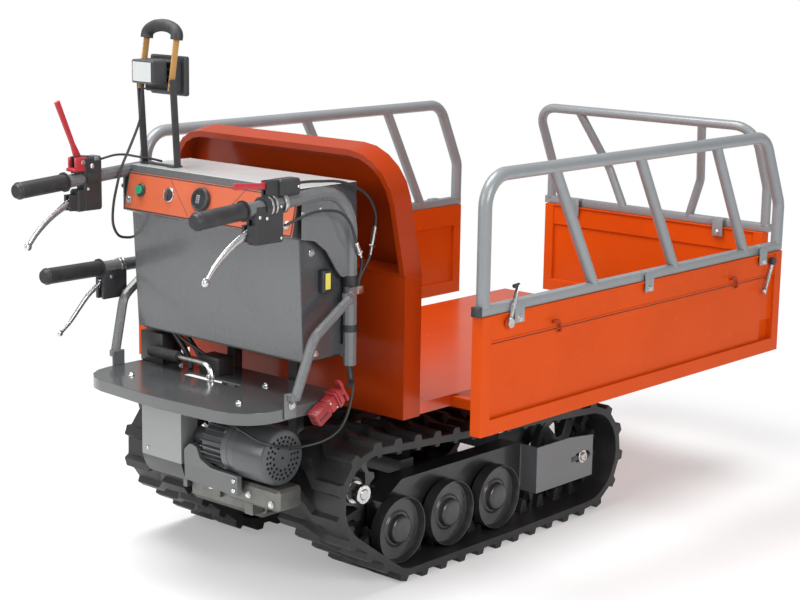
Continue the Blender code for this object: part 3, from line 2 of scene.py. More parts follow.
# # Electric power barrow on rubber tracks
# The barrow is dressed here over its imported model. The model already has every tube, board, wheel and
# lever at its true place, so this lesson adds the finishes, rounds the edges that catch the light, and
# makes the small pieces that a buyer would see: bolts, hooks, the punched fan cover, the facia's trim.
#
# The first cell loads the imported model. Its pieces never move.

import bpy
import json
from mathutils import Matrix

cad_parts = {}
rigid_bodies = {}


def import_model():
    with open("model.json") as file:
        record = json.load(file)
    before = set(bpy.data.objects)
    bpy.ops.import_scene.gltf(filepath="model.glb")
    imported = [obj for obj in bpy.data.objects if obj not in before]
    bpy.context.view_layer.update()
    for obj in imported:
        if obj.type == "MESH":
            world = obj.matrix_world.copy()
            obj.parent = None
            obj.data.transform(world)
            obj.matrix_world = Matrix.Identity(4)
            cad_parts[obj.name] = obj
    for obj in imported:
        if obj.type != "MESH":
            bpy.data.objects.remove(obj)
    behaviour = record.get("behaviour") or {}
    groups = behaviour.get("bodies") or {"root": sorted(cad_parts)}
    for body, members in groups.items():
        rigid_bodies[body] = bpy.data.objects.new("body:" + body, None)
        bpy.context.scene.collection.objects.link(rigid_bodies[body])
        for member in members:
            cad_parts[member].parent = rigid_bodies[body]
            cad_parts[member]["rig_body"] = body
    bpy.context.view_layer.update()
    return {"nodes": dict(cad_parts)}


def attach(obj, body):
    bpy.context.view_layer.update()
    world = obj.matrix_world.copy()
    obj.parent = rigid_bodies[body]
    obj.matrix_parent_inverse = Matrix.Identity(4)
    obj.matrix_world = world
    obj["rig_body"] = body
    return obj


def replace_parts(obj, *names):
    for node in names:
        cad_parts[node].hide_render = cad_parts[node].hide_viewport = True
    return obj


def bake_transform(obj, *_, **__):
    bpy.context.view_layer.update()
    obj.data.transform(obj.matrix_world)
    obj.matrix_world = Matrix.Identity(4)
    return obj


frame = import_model()
print("pieces in the packed model:", len(frame["nodes"]))

# %% The modules
import json
import math
from contextlib import contextmanager

import bpy
from mathutils import Matrix, Vector

# %% [markdown]
# ## Camera
# The photograph was taken from behind and to the right of the barrow, from a little above its handles,
# with a long lens. The place and the three turns below came from matching some forty corners of the
# barrow with the photograph. A camera looks along its own -Z, so its axes are built from the view
# direction and then tilted by the small roll.

# %% Camera
EYE = Vector((-3.12508, -2.71728, 1.32606))
YAW, PITCH, ROLL = 0.726782, 0.200289, 0.0159036
FOCAL_PX, CENTRE_PX = 1854.268, (402.715, 301.549)
IMAGE_PX, SENSOR_MM = (800, 600), 36.0


def aim_camera():
    look = Vector((math.cos(PITCH) * math.cos(YAW), math.cos(PITCH) * math.sin(YAW), -math.sin(PITCH)))
    right = look.cross(Vector((0, 0, 1))).normalized()
    up = right.cross(look)
    c, s = math.cos(ROLL), math.sin(ROLL)
    right, up = c * right + s * up, -s * right + c * up
    data = bpy.data.cameras.new("camera")
    data.sensor_width = SENSOR_MM
    data.sensor_fit = "HORIZONTAL"
    data.lens = FOCAL_PX / IMAGE_PX[0] * data.sensor_width
    data.shift_x = (IMAGE_PX[0] / 2 - CENTRE_PX[0]) / IMAGE_PX[0]
    data.shift_y = (CENTRE_PX[1] - IMAGE_PX[1] / 2) / IMAGE_PX[0]
    data.clip_end = 100.0
    camera = bpy.data.objects.new("camera", data)
    bpy.context.scene.collection.objects.link(camera)
    camera.matrix_world = Matrix.Translation(EYE) @ Matrix((right, up, -look)).transposed().to_4x4()
    bpy.context.scene.camera = camera
    return camera


camera = aim_camera()
print("lens in mm:", round(camera.data.lens, 2))

# %% [markdown]
# ## Cables and leads
# Every cable here is held at both ends: two sheathed cables run from the right lever bracket round the
# handlebar's corner, one short cable crosses on the left, and two leads feed the lamp and the motor. Each
# follows the same points as its solid in the model, on one smooth curve, but as a finer tube. Places are
# measured lengthwise from the side boards' rear end, and `at` moves them into the model's frame.

# %% Places and smooth routes
BOARD_END = -0.40899


def at(x, y, z):
    """A place measured lengthwise from the side boards' rear end."""
    return Vector((x + BOARD_END, y, z))


def smooth_route(points, per_span=6):
    """A smooth curve through the points of a route."""
    route = [at(*p) for p in points]
    ends = [route[0] * 2 - route[1]] + route + [route[-1] * 2 - route[-2]]
    curve = []
    for i in range(1, len(ends) - 2):
        a, b, c, d = ends[i - 1:i + 3]
        for k in range(per_span):
            t = k / per_span
            curve.append(0.5 * (2 * b + (c - a) * t + (2 * a - 5 * b + 4 * c - d) * t * t
                                + (3 * b - a - 3 * c + d) * t ** 3))
    return curve + [route[-1]]


def route_length(route):
    return sum((b - a).length for a, b in zip(route, route[1:]))


# %% Choosing a piece and editing its mesh
def choose(piece):
    """Makes a piece the only selected one, and the active one."""
    bpy.ops.object.select_all(action="DESELECT")
    piece.select_set(True)
    bpy.context.view_layer.objects.active = piece


@contextmanager
def editing():
    """Edit mode on the active piece, with its whole mesh selected."""
    bpy.ops.object.mode_set(mode="EDIT")
    bpy.ops.mesh.select_all(action="SELECT")
    yield
    bpy.ops.object.mode_set(mode="OBJECT")


def seams_closed(gap):
    """Merges points that are closer than the gap and turns the faces outwards, in edit mode."""
    bpy.ops.mesh.remove_doubles(threshold=gap)
    bpy.ops.mesh.normals_make_consistent(inside=False)


# %% Cable tubes
SEAM_GAP = 0.00001


def swept(name, route, radius, roundness, swell=None):
    """A round section swept along a route, with filled ends. swell scales it at each point."""
    data = bpy.data.curves.new(name, "CURVE")
    data.dimensions = "3D"
    data.bevel_depth = radius
    data.bevel_resolution = roundness
    data.use_fill_caps = True
    line = data.splines.new("POLY")
    line.points.add(len(route) - 1)
    for k, place in enumerate(route):
        line.points[k].co = (*place, 1)
        if swell:
            line.points[k].radius = swell[k]
    piece = bpy.data.objects.new(name, data)
    bpy.context.scene.collection.objects.link(piece)
    choose(piece)
    bpy.ops.object.convert(target="MESH")
    return bpy.context.active_object


def tube_along(name, route, radius, roundness=4):
    """A round tube along a route, as a mesh with filled ends."""
    tube = swept(name, route, radius, roundness)
    with editing():
        seams_closed(SEAM_GAP)
    bpy.ops.object.shade_smooth_by_angle(angle=math.radians(50))
    return tube


# %% The five cables and leads
CABLE_ROUTES = {
    "throttle_cable_right": (0.0028, "cable_right", [
        (-0.261, -0.262, 0.847), (-0.24, -0.2625, 0.847), (-0.203, -0.263, 0.845),
        (-0.135, -0.263, 0.837), (-0.071, -0.263, 0.809), (-0.043, -0.263, 0.773),
        (-0.041, -0.263, 0.741), (-0.054, -0.262, 0.684), (-0.078, -0.26, 0.647),
        (-0.085, -0.259, 0.624)]),
    "brake_cable_right": (0.0028, "cable_right", [
        (-0.305, -0.274, 0.772), (-0.285, -0.28, 0.779), (-0.258, -0.285, 0.788),
        (-0.221, -0.286, 0.792), (-0.17, -0.286, 0.785), (-0.138, -0.286, 0.76),
        (-0.12, -0.286, 0.72), (-0.099, -0.28, 0.688), (-0.087, -0.268, 0.662),
        (-0.088, -0.257, 0.624)]),
    "brake_cable_left": (0.0024, "cable_left", [
        (-0.309, 0.2575, 0.847), (-0.275, 0.254, 0.853), (-0.25, 0.248, 0.8525),
        (-0.23, 0.237, 0.848), (-0.205, 0.224, 0.843), (-0.18, 0.215, 0.836)]),
    "lamp_cord": (0.0028, "lamp_lead", [
        (-0.238, 0.206, 1.0026), (-0.2375, 0.208, 0.985), (-0.231, 0.22, 0.95),
        (-0.228, 0.229, 0.92), (-0.247, 0.237, 0.87), (-0.268, 0.239, 0.83),
        (-0.2815, 0.2395, 0.79), (-0.2885, 0.243, 0.75), (-0.284, 0.25, 0.711),
        (-0.264, 0.257, 0.684), (-0.24, 0.256, 0.677), (-0.2285, 0.251, 0.6785),
        (-0.227, 0.2468, 0.679)]),
    "motor_cord": (0.0028, "power_leads", [
        (-0.105, -0.26, 0.468), (-0.095, -0.258, 0.43), (-0.098, -0.258, 0.4045),
        (-0.112, -0.258, 0.366), (-0.131, -0.252, 0.336), (-0.162, -0.239, 0.3185),
        (-0.208, -0.2225, 0.3125), (-0.2493, -0.2215, 0.3197), (-0.288, -0.2225, 0.332),
        (-0.305, -0.2, 0.342), (-0.299, -0.165, 0.347), (-0.29, -0.125, 0.352),
        (-0.262, -0.112, 0.355)]),
}
cords = {}
for name, (radius, node, points) in CABLE_ROUTES.items():
    route = smooth_route(points)
    cords[name] = tube_along(name, route, radius)
    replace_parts(cords[name], node)
    route_length(route)
    print(name, "length in mm:", round(1000 * route_length(route)))
    if name == "lamp_cord":
        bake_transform(cords[name], "chassis", "lamp", start=at(-0.228, 0.229, 0.93), end=at(-0.2375, 0.208, 0.99))
    else:
        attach(cords[name], "chassis")

battery_stub = tube_along("battery_lead", smooth_route([
    (-0.11, -0.26, 0.469), (-0.109, -0.262, 0.45), (-0.113, -0.27, 0.436),
    (-0.13, -0.278, 0.4345)]), 0.0055)
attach(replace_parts(battery_stub, "power_leads"), "chassis")

# %% [markdown]
# ## Node sums written as sums
# A finish is a small network of nodes. Wiring each Math node by hand is slow to read, so one small class
# wraps a node's output, and adding or multiplying two wires adds the Math node. Every other node comes
# from the finish's own `node` method, which sets the node's settings first and its sockets second.

# %% Finish and wire classes
class Wire:
    """One output socket of a finish's network."""

    def __init__(self, finish, socket):
        self.finish = finish
        self.socket = socket

    def math(self, operation, *others):
        values = {i: value for i, value in enumerate((self, *others))}
        return self.finish.node("ShaderNodeMath", {"operation": operation}, values)

    def __add__(self, other):
        return self.math("ADD", other)

    def __mul__(self, other):
        return self.math("MULTIPLY", other)

    def __sub__(self, other):
        return self.math("SUBTRACT", other)

    def above(self, edge, soft):
        """0 below the edge and 1 above it, with a soft step."""
        return self.finish.node("ShaderNodeMapRange", {"interpolation_type": "SMOOTHSTEP"},
                                {"Value": self, "From Min": edge - soft, "From Max": edge + soft})

    def spread(self, low, high):
        """A wire that runs from 0 to 1, spread over a new range."""
        return self * (high - low) + low


class Finish:
    """A material in the making: a Principled shader and what feeds it."""

    def __init__(self, name, colour, roughness, **constants):
        self.material = bpy.data.materials.new(name)
        self.material.use_nodes = True
        self.tree = self.material.node_tree
        self.shader = self.tree.nodes["Principled BSDF"]
        self.shader.inputs["Base Color"].default_value = (*colour, 1)
        self.shader.inputs["Roughness"].default_value = roughness
        for socket, value in constants.items():
            self.shader.inputs[socket.replace("_", " ")].default_value = value
        self.place = self.node("ShaderNodeTexCoord", {}, {}, "Object")

    def node(self, kind, settings, sockets, output=0):
        made = self.tree.nodes.new(kind)
        for key, value in settings.items():
            setattr(made, key, value)
        for key, value in sockets.items():
            if isinstance(value, Wire):
                self.tree.links.new(value.socket, made.inputs[key])
            else:
                made.inputs[key].default_value = value
        return Wire(self, made.outputs[output])

    def feed(self, socket, wire):
        self.tree.links.new(wire.socket, self.shader.inputs[socket])
        return self

    def noise(self, scale, detail):
        return self.node("ShaderNodeTexNoise", {}, {"Vector": self.place, "Scale": scale, "Detail": detail})

    def axis(self, letter):
        """One coordinate of the surface's place, in metres."""
        return self.node("ShaderNodeSeparateXYZ", {}, {"Vector": self.place}, letter)

    def mix(self, share, first, second):
        """A colour between two colours."""
        values = {"Factor": share}
        for key, value in ((6, first), (7, second)):
            values[key] = value if isinstance(value, Wire) else (*value, 1)
        return self.node("ShaderNodeMix", {"data_type": "RGBA"}, values, 2)

    def surface(self, colour, patches, relief):
        """Feeds a colour, a roughness that drifts in patches, and a fine relief.

        patches are (noise scale, detail, lowest and highest roughness); relief is (noise scale, detail,
        strength as a share, height in metres).
        """
        scale, detail, low, high = patches
        self.feed("Base Color", colour)
        self.feed("Roughness", self.noise(scale, detail).spread(low, high))
        scale, detail, strength, height = relief
        wires = {"Height": self.noise(scale, detail), "Strength": strength, "Distance": height}
        self.feed("Normal", self.node("ShaderNodeBump", {}, wires))
        return self.material


# %% [markdown]
# ## Finishes
# Powder coat is a thick paint with a fine orange-peel relief, a few millimetres across. Its build is the
# same in every colour, so one function makes them all, with more or less gloss. Broad, faint cloudiness
# keeps large sheets from looking like plastic film, a little grey dust lies on the darker ones, and the
# peel is only felt in the reflections. The boards' orange has little gloss, so that the white floor
# doesn't veil it.

# %% Powder coat
PEEL_SCALE, PEEL_HEIGHT = 380.0, 0.0004


def powder_coat(name, colour, roughness, peel=0.08, dust=0.02, coat=0.35, gloss=0.5):
    finish = Finish(name, colour, roughness, Coat_Weight=coat, Coat_Roughness=0.12, Specular_IOR_Level=gloss)
    darker = tuple(0.9 * c for c in colour)
    dusty = tuple(c + dust * (0.5 - c) for c in colour)
    tone = finish.mix(finish.noise(6.0, 2.0).above(0.5, 0.3), darker, colour)
    speckled = finish.mix(finish.noise(45.0, 5.0).above(0.6, 0.14) * 0.5, tone, dusty)
    return finish.surface(speckled, (16.0, 4.0, roughness - 0.06, roughness + 0.08),
                          (PEEL_SCALE, 1.0, peel, PEEL_HEIGHT))


orange = powder_coat("orange_powder_coat", (0.59, 0.066, 0.004), 0.24, 0.05, 0.0, 0.0, 0.09)
# Painted highlight: a less saturated copy of the orange for the sloping facia, standing in for the light it
# catches.
facia_orange_painted_highlight = powder_coat("facia_orange_painted_highlight", (0.56, 0.115, 0.045), 0.34)
# Painted shade: a darker copy of the boards' orange, used for the head board and the rope hooks.
orange_painted_shade = powder_coat("orange_with_painted_shade", (0.33, 0.032, 0.003), 0.2, 0.05, 0.0, 0.06, 0.2)
deck_orange = powder_coat("deck_orange_gloss", (0.54, 0.054, 0.005), 0.24, 0.04, 0.0, 0.2)
pale_grey = powder_coat("pale_grey_powder_coat", (0.22, 0.235, 0.245), 0.3)
# Painted reflection: a pale grey for the console lid's top, in place of the white studio it reflects.
lid_painted_reflection = powder_coat("lid_grey_painted_reflection", (0.52, 0.53, 0.53), 0.24, 0.04, 0.0, 0.2)
tube_grey = powder_coat("handlebar_grey_paint", (0.13, 0.135, 0.14), 0.26)
motor_grey = powder_coat("motor_grey_paint", (0.06, 0.066, 0.07), 0.34)
bell_grey = powder_coat("end_bell_paint", (0.078, 0.084, 0.088), 0.34)
wheel_black = powder_coat("wheel_dark_paint", (0.022, 0.023, 0.024), 0.28, 0.15, 0.03)
chassis_black = powder_coat("chassis_dark_paint", (0.02, 0.021, 0.022), 0.36, 0.15, 0.03)
tan_paint = powder_coat("tan_plated_legs", (0.5, 0.27, 0.075), 0.34)
yellow_tag = powder_coat("yellow_tag", (0.72, 0.62, 0.1), 0.4)
gauge_white = powder_coat("gauge_window_white", (0.62, 0.64, 0.64), 0.3)
print("powder coats made")

# %% [markdown]
# Some pieces show more than one tone. Three of them are painted shade: the console's flanks are darker than
# its rear face, the base plate's top is darker than its rim, and the drive cover's low facet is nearly black.
# The drive cover's lower plate is a middle grey, and the side beam is darker than the yoke at its front end.
# A soft step on a coordinate parts two tones.

# %% Two-tone coats, three with painted shade
def two_tone(name, first, second, roughness, letter, edge, mirrored_about=None):
    """The first colour below the edge along one axis, the second above it."""
    finish = Finish(name, first, roughness, Coat_Weight=0.45, Coat_Roughness=0.1)
    place = finish.axis(letter)
    if mirrored_about is not None:
        place = (place - mirrored_about).math("ABSOLUTE")
    tone = finish.mix(place.above(edge, 0.0004), first, second)
    darker = finish.mix(finish.noise(6.0, 2.0).above(0.5, 0.3) * 0.12, tone, (0.0, 0.0, 0.0))
    return finish.surface(darker, (16.0, 4.0, roughness - 0.05, roughness + 0.08),
                          (PEEL_SCALE, 1.0, 0.08, PEEL_HEIGHT))


# Painted shade: the console's flanks, beyond 0.2436 m from the middle, are darker than its rear face.
console_grey_flank_shade = two_tone("console_paint_painted_flank_shade", (0.12, 0.124, 0.129), (0.054, 0.057, 0.061), 0.26,
                        "Y", 0.2436, 0.0)
# Painted shade: the base plate's top is painted darker than its rim, which faces the light.
plate_grey_top_shade = two_tone("plate_paint_painted_top_shade", (0.11, 0.114, 0.114), (0.08, 0.083, 0.085), 0.16, "Z", 0.4094)
# Painted shade: the drive cover's low facet, which faces downwards, is nearly black.
cover_grey_facet_shade = two_tone("drive_cover_painted_facet_shade", (0.035, 0.036, 0.037), (0.275, 0.28, 0.28), 0.36, "Z", 0.2445)
lower_cover_grey = two_tone("lower_cover_paint", (0.105, 0.11, 0.11), (0.12, 0.125, 0.125), 0.36, "Z", 0.25)
beam_grey = two_tone("beam_dark_paint", (0.016, 0.017, 0.018), (0.115, 0.122, 0.128), 0.36, "X", 0.0485)
print("two-tone coats made")

# %% [markdown]
# Rubber, moulded plastic and bare metal follow. Rubber is dull, with a grey bloom where it is rubbed, so
# its tracks look dusty in patches. Moulded plastic has a fine even grain, and cast metal a coarse one.

# %% Rubber
def moulded_rubber(name, colour, bloom, scale, share, roughness):
    finish = Finish(name, colour, roughness, Specular_IOR_Level=0.45)
    patches = finish.noise(scale, 6.0).above(0.55, 0.16)
    return finish.surface(finish.mix(patches * share, colour, bloom),
                          (scale * 2.0, 3.0, roughness - 0.12, roughness + 0.16), (900.0, 2.0, 0.25, 0.0005))


belt_rubber = moulded_rubber("belt_rubber", (0.012, 0.012, 0.013), (0.034, 0.033, 0.032), 14.0, 0.6, 0.46)
grip_rubber = moulded_rubber("grip_rubber", (0.018, 0.018, 0.02), (0.036, 0.036, 0.039), 40.0, 0.6, 0.5)
foam = moulded_rubber("foam_sleeve", (0.022, 0.022, 0.024), (0.055, 0.055, 0.057), 60.0, 0.6, 0.6)

# %% Plastic
def moulded_plastic(name, colour, roughness, grain=0.2):
    finish = Finish(name, colour, roughness, Specular_IOR_Level=0.5)
    paler = tuple(c + 0.04 * (1 - c) for c in colour)
    return finish.surface(finish.mix(finish.noise(30.0, 3.0) * 0.5, colour, paler),
                          (60.0, 3.0, roughness - 0.06, roughness + 0.08), (1500.0, 1.0, grain, 0.0003))


black_plastic = moulded_plastic("black_plastic", (0.018, 0.019, 0.021), 0.4)
lamp_black = moulded_plastic("lamp_black", (0.03, 0.032, 0.035), 0.38)
red_plastic = moulded_plastic("red_plastic", (0.42, 0.018, 0.03), 0.3, 0.05)
connector_red = moulded_plastic("connector_red", (0.3, 0.012, 0.016), 0.34, 0.05)
green_plastic = moulded_plastic("green_plastic", (0.01, 0.26, 0.12), 0.24, 0.05)
cable_sheath = moulded_plastic("cable_sheath", (0.014, 0.014, 0.015), 0.45, 0.1)

# %% Bare metal
def bare_metal(name, colour, roughness, scale, relief):
    finish = Finish(name, colour, roughness, Metallic=1.0)
    dull = tuple(0.78 * c for c in colour)
    return finish.surface(finish.mix(finish.noise(scale, 4.0).above(0.5, 0.2), dull, colour),
                          (scale * 3.0, 3.0, roughness - 0.07, roughness + 0.12),
                          (scale * 12.0, 2.0, relief, 0.0005))


zinc = bare_metal("zinc_plate", (0.7, 0.7, 0.68), 0.26, 40.0, 0.06)
polished = bare_metal("polished_casting", (0.66, 0.67, 0.68), 0.24, 30.0, 0.12)
cast_metal = bare_metal("sand_cast_metal", (0.22, 0.22, 0.205), 0.5, 30.0, 0.5)
print("finishes made:", len(bpy.data.materials))

# %% Glass
def clear_glass():
    finish = Finish("gauge_glass", (0.03, 0.03, 0.035), 0.04, Specular_IOR_Level=0.25)
    finish.shader.inputs["Alpha"].default_value = 0.1
    finish.feed("Roughness", finish.noise(90.0, 3.0).spread(0.02, 0.07))
    return finish.material


glass = clear_glass()

# %% [markdown]
# ## Which piece has which finish
# Each imported node keeps its mesh and gets its real finish through its material slot.

# %% Finish the imported pieces
# Painted light in this table: the head board takes a darker copy of the orange (painted shade), the control panel
# a paler one (painted highlight); the console, base plate and drive cover greys carry painted shade.
FINISH_OF = {
    "rubber_track": belt_rubber, "track_frame": beam_grey, "road_wheel": wheel_black,
    "idler": chassis_black, "drive_sprocket": chassis_black, "main_frame": chassis_black,
    "transmission_case": cast_metal, "drive_cover": cover_grey_facet_shade, "drive_motor": motor_grey,
    "deck": deck_orange, "headboard": orange_painted_shade, "side_panel": orange, "front_panel": orange,
    "side_rail": pale_grey, "front_rail": pale_grey, "latch": zinc, "step_plate": plate_grey_top_shade,
    "console_box": console_grey_flank_shade, "control_panel": facia_orange_painted_highlight, "charge_gauge": black_plastic,
    "key_switch": zinc, "start_button": green_plastic, "handlebar": tube_grey, "stay": tube_grey,
    "grip": grip_rubber, "lever_bracket": black_plastic, "squeeze_lever": polished,
    "thumb_lever": red_plastic, "lamp_mast": lamp_black, "lamp_head": lamp_black,
    "lamp_handle": foam, "lamp_lead": cable_sheath, "gear_lever": zinc, "power_connector": connector_red,
    "power_leads": cable_sheath, "cable": cable_sheath, "tipping_handle": tube_grey,
    "tipping_grip": grip_rubber, "tipping_lever": polished,
}


def finish_for(name):
    fitting = [key for key in FINISH_OF if name.startswith(key)]
    return FINISH_OF[max(fitting, key=len)]


for name, node in frame["nodes"].items():
    node.data.materials.clear()
    node.data.materials.append(finish_for(name))
for cord in (*cords.values(), battery_stub):
    cord.data.materials.append(cable_sheath)
print("nodes finished:", len(frame["nodes"]))

# %% [markdown]
# ## Helpers for modelling by hand
# Each new piece starts as a primitive and is shaped in edit mode. A round piece is a disc that is extruded
# and resized ring by ring, which is how one would model a knob or a wheel. A finished piece has its place
# baked into its mesh, its doubles merged and its normals turned outwards.

# %% Finish a modelled piece
PIECE_GAP = 0.000005


def named(piece, name):
    piece.name = name
    piece.data.name = name
    return piece


def settled(piece, name, finish, matrix=None, angle=35):
    """Names a piece, bakes its place, closes its seams, turns its faces outwards and gives its finish."""
    choose(named(piece, name))
    if matrix is not None:
        piece.matrix_world = matrix @ piece.matrix_world
    bpy.ops.object.transform_apply(location=True, rotation=True, scale=True)
    with editing():
        seams_closed(PIECE_GAP)
    piece.data.materials.clear()
    piece.data.materials.append(finish)
    bpy.ops.object.shade_smooth_by_angle(angle=math.radians(angle))
    return piece


def facing(point, direction):
    """A matrix that carries a piece modelled along +Z to a point, facing a direction."""
    turn = Vector(direction).to_track_quat("Z", "Y").to_matrix().to_4x4()
    return Matrix.Translation(point) @ turn


# %% Round pieces, extruded ring by ring
def turned(name, rings, sides, finish, matrix=None, angle=35):
    """rings are (radius, height), from the first disc to the last."""
    radius, height = rings[0]
    bpy.ops.object.select_all(action="DESELECT")
    bpy.ops.mesh.primitive_circle_add(vertices=sides, radius=radius, fill_type="NGON",
                                      location=(0, 0, height))
    piece = bpy.context.active_object
    with editing():
        for next_radius, next_height in rings[1:]:
            growth = next_radius / radius
            bpy.ops.mesh.extrude_region_move(TRANSFORM_OT_translate={"value": (0, 0, next_height - height)})
            bpy.ops.transform.resize(value=(growth, growth, 1), center_override=(0, 0, 0))
            radius, height = next_radius, next_height
    return settled(piece, name, finish, matrix, angle)


# %% Blocks with rounded edges
ON_BOARD = Matrix.Translation((BOARD_END, 0, 0))


def cube(middle, size):
    """A box with its size applied, chosen for editing."""
    bpy.ops.object.select_all(action="DESELECT")
    bpy.ops.mesh.primitive_cube_add(size=1.0, location=middle, scale=size)
    bpy.ops.object.transform_apply(location=True, rotation=True, scale=True)
    return bpy.context.active_object


def block(name, low, high, finish, bevel=0.0015, segments=2, matrix=None):
    low, high = Vector(low), Vector(high)
    piece = cube((low + high) / 2, high - low)
    with editing():
        bpy.ops.mesh.bevel(offset=bevel, segments=segments, affect="EDGES")
    return settled(piece, name, finish, matrix)


def fitted_block(name, low, high, finish, bevel=0.0012, segments=2):
    """A block whose places are measured lengthwise from the side boards' rear end."""
    return block(name, low, high, finish, bevel, segments, ON_BOARD)


# %% Copies and joined pieces
def copied(piece, matrix):
    twin = bpy.data.objects.new(piece.name + "_copy", piece.data.copy())
    bpy.context.scene.collection.objects.link(twin)
    twin.data.transform(matrix)
    if matrix.determinant() < 0:
        twin.data.flip_normals()
    return twin


def joined(name, pieces):
    bpy.ops.object.select_all(action="DESELECT")
    for piece in pieces:
        piece.select_set(True)
    bpy.context.view_layer.objects.active = pieces[0]
    bpy.ops.object.join()
    return named(pieces[0], name)


def painted(piece, finish, chosen):
    """Gives a second finish to the faces that the test picks by their middle and normal."""
    piece.data.materials.append(finish)
    slot = len(piece.data.materials) - 1
    for face in piece.data.polygons:
        if chosen(face.center, face.normal):
            face.material_index = slot
    return piece


# %% [markdown]
# ## Rounded edges
# Sheet metal is folded and castings are drafted, so no real edge is knife sharp, and it is the thin bright
# line along each edge that makes a board look like folded steel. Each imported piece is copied, its loose
# triangles are merged into whole faces again, and its edges are rounded over by a millimetre or so with a
# Bevel modifier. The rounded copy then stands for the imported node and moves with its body.

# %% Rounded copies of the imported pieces
EDGE_OF = {
    "rubber_track": 0.0016, "track_frame": 0.0015, "idler": 0.0012, "drive_sprocket": 0.001,
    "main_frame": 0.0015, "transmission_case": 0.0022, "drive_cover": 0.0022, "deck": 0.0012,
    "headboard": 0.002, "side_panel": 0.0015, "front_panel": 0.0015, "latch": 0.0008,
    "step_plate": 0.0012, "console_box": 0.0025, "control_panel": 0.001, "charge_gauge": 0.0006,
    "key_switch": 0.0004, "start_button": 0.0008, "handlebar": 0.001, "stay": 0.0012, "grip": 0.0008,
    "lever_bracket": 0.001, "lamp_mast": 0.0005, "lamp_head": 0.0008, "gear_lever": 0.0008,
    "tipping_grip": 0.0008,
}


def body_of(node_name):
    return frame["nodes"][node_name]["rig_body"]


def rounded_copy(node_name, width):
    node = frame["nodes"][node_name]
    piece = bpy.data.objects.new(node_name + "_rounded", node.data.copy())
    bpy.context.scene.collection.objects.link(piece)
    choose(piece)
    bpy.ops.mesh.customdata_custom_splitnormals_clear()
    with editing():
        bpy.ops.mesh.remove_doubles(threshold=SEAM_GAP)
        bpy.ops.mesh.dissolve_limited(angle_limit=math.radians(0.5))
    edge = piece.modifiers.new("edge", "BEVEL")
    edge.width = width
    edge.segments = 2
    edge.limit_method = "ANGLE"
    edge.angle_limit = math.radians(32)
    edge.use_clamp_overlap = True
    bpy.ops.object.modifier_apply(modifier="edge")
    bpy.ops.object.shade_smooth_by_angle(angle=math.radians(40))
    weight = piece.modifiers.new("weight", "WEIGHTED_NORMAL")
    weight.keep_sharp = True
    bpy.ops.object.modifier_apply(modifier="weight")
    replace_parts(piece, node_name)
    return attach(piece, body_of(node_name))


rounded = {}
for name in sorted(frame["nodes"]):
    width = next((value for key, value in EDGE_OF.items() if name.startswith(key)), None)
    if width:
        rounded[name] = rounded_copy(name, width)
# Painted reflection: the lid's upward faces take the pale grey.
painted(rounded["console_box"], lid_painted_reflection, lambda middle, normal: normal.z > 0.8 and middle.z > 0.75)
for name, piece in rounded.items():
    if name.startswith("latch"):
        top = max(v.co.z for v in piece.data.vertices)
        painted(piece, black_plastic, lambda middle, normal: middle.z > top - 0.017)
painted(rounded["gear_lever"], grip_rubber, lambda middle, normal: middle.y > 0.117)
painted(rounded["drive_cover"], lower_cover_grey, lambda middle, normal: middle.y < 0.0262)
print("rounded copies:", len(rounded))

# %% [markdown]
# ## Cage rails
# The cages are bent steel tube with the bars welded between, so they are modelled as tubes along the same
# bends, on a square foot tube with a plastic plug in its rear end. Folded straps wrap the foot and run
# down the outside of the board. The left side is modelled; the right side is its mirror copy.

# %% Bends
def filleted(corners, radii, steps=10):
    """The route through the corners, each corner turned into an arc of its bend radius."""
    corners = [Vector(corner) for corner in corners]
    route = [corners[0]]
    for before, corner, after, radius in zip(corners, corners[1:], corners[2:], radii):
        back, ahead = (before - corner).normalized(), (after - corner).normalized()
        half = back.angle(ahead) / 2
        centre = corner + (back + ahead).normalized() * radius / math.sin(half)
        first = (corner + back * radius / math.tan(half) - centre).normalized()
        last = (corner + ahead * radius / math.tan(half) - centre).normalized()
        route += [centre + first.slerp(last, k / steps) * radius for k in range(steps + 1)]
    return [*route, corners[-1]]


def bent_tube(name, corners, radii, radius, finish):
    tube = tube_along(name, filleted([at(*corner) for corner in corners], radii), radius, 6)
    tube.data.materials.append(finish)
    return tube


# %% Side cages
SIDES = {"left": 1, "right": -1}
BOARD_OUT, BOARD_THICK, FRONT_BOARD_X = 0.5104, 0.0275, 1.3069
RAIL_Y, STRAP_Y, STRAP_LOW = BOARD_OUT - BOARD_THICK / 2, 0.5107, 0.5616
FOOT_LOW, FOOT_TOP, KNEE_Z, CAGE_TOP = 0.5859, 0.6056, 0.697, 0.859
TUBE_FOOT = FOOT_TOP - 0.004
CLAMP_X, FRONT_CLAMP_Y, CLAMP_HALF = (0.11, 0.56, 1.026), (0.242, -0.211), 0.015


def foot_tube(low, high):
    return fitted_block("foot_tube", (*low, FOOT_LOW), (*high, FOOT_TOP), pale_grey, 0.0018)


def strap(low, high, top_low, top_high):
    """A folded strap: its face down the outside of the board and its top over the foot tube."""
    return [fitted_block("strap", (*low, STRAP_LOW), (*high, 0.6072), pale_grey),
            fitted_block("strap_top", (*top_low, 0.5996), (*top_high, 0.6076), pale_grey)]


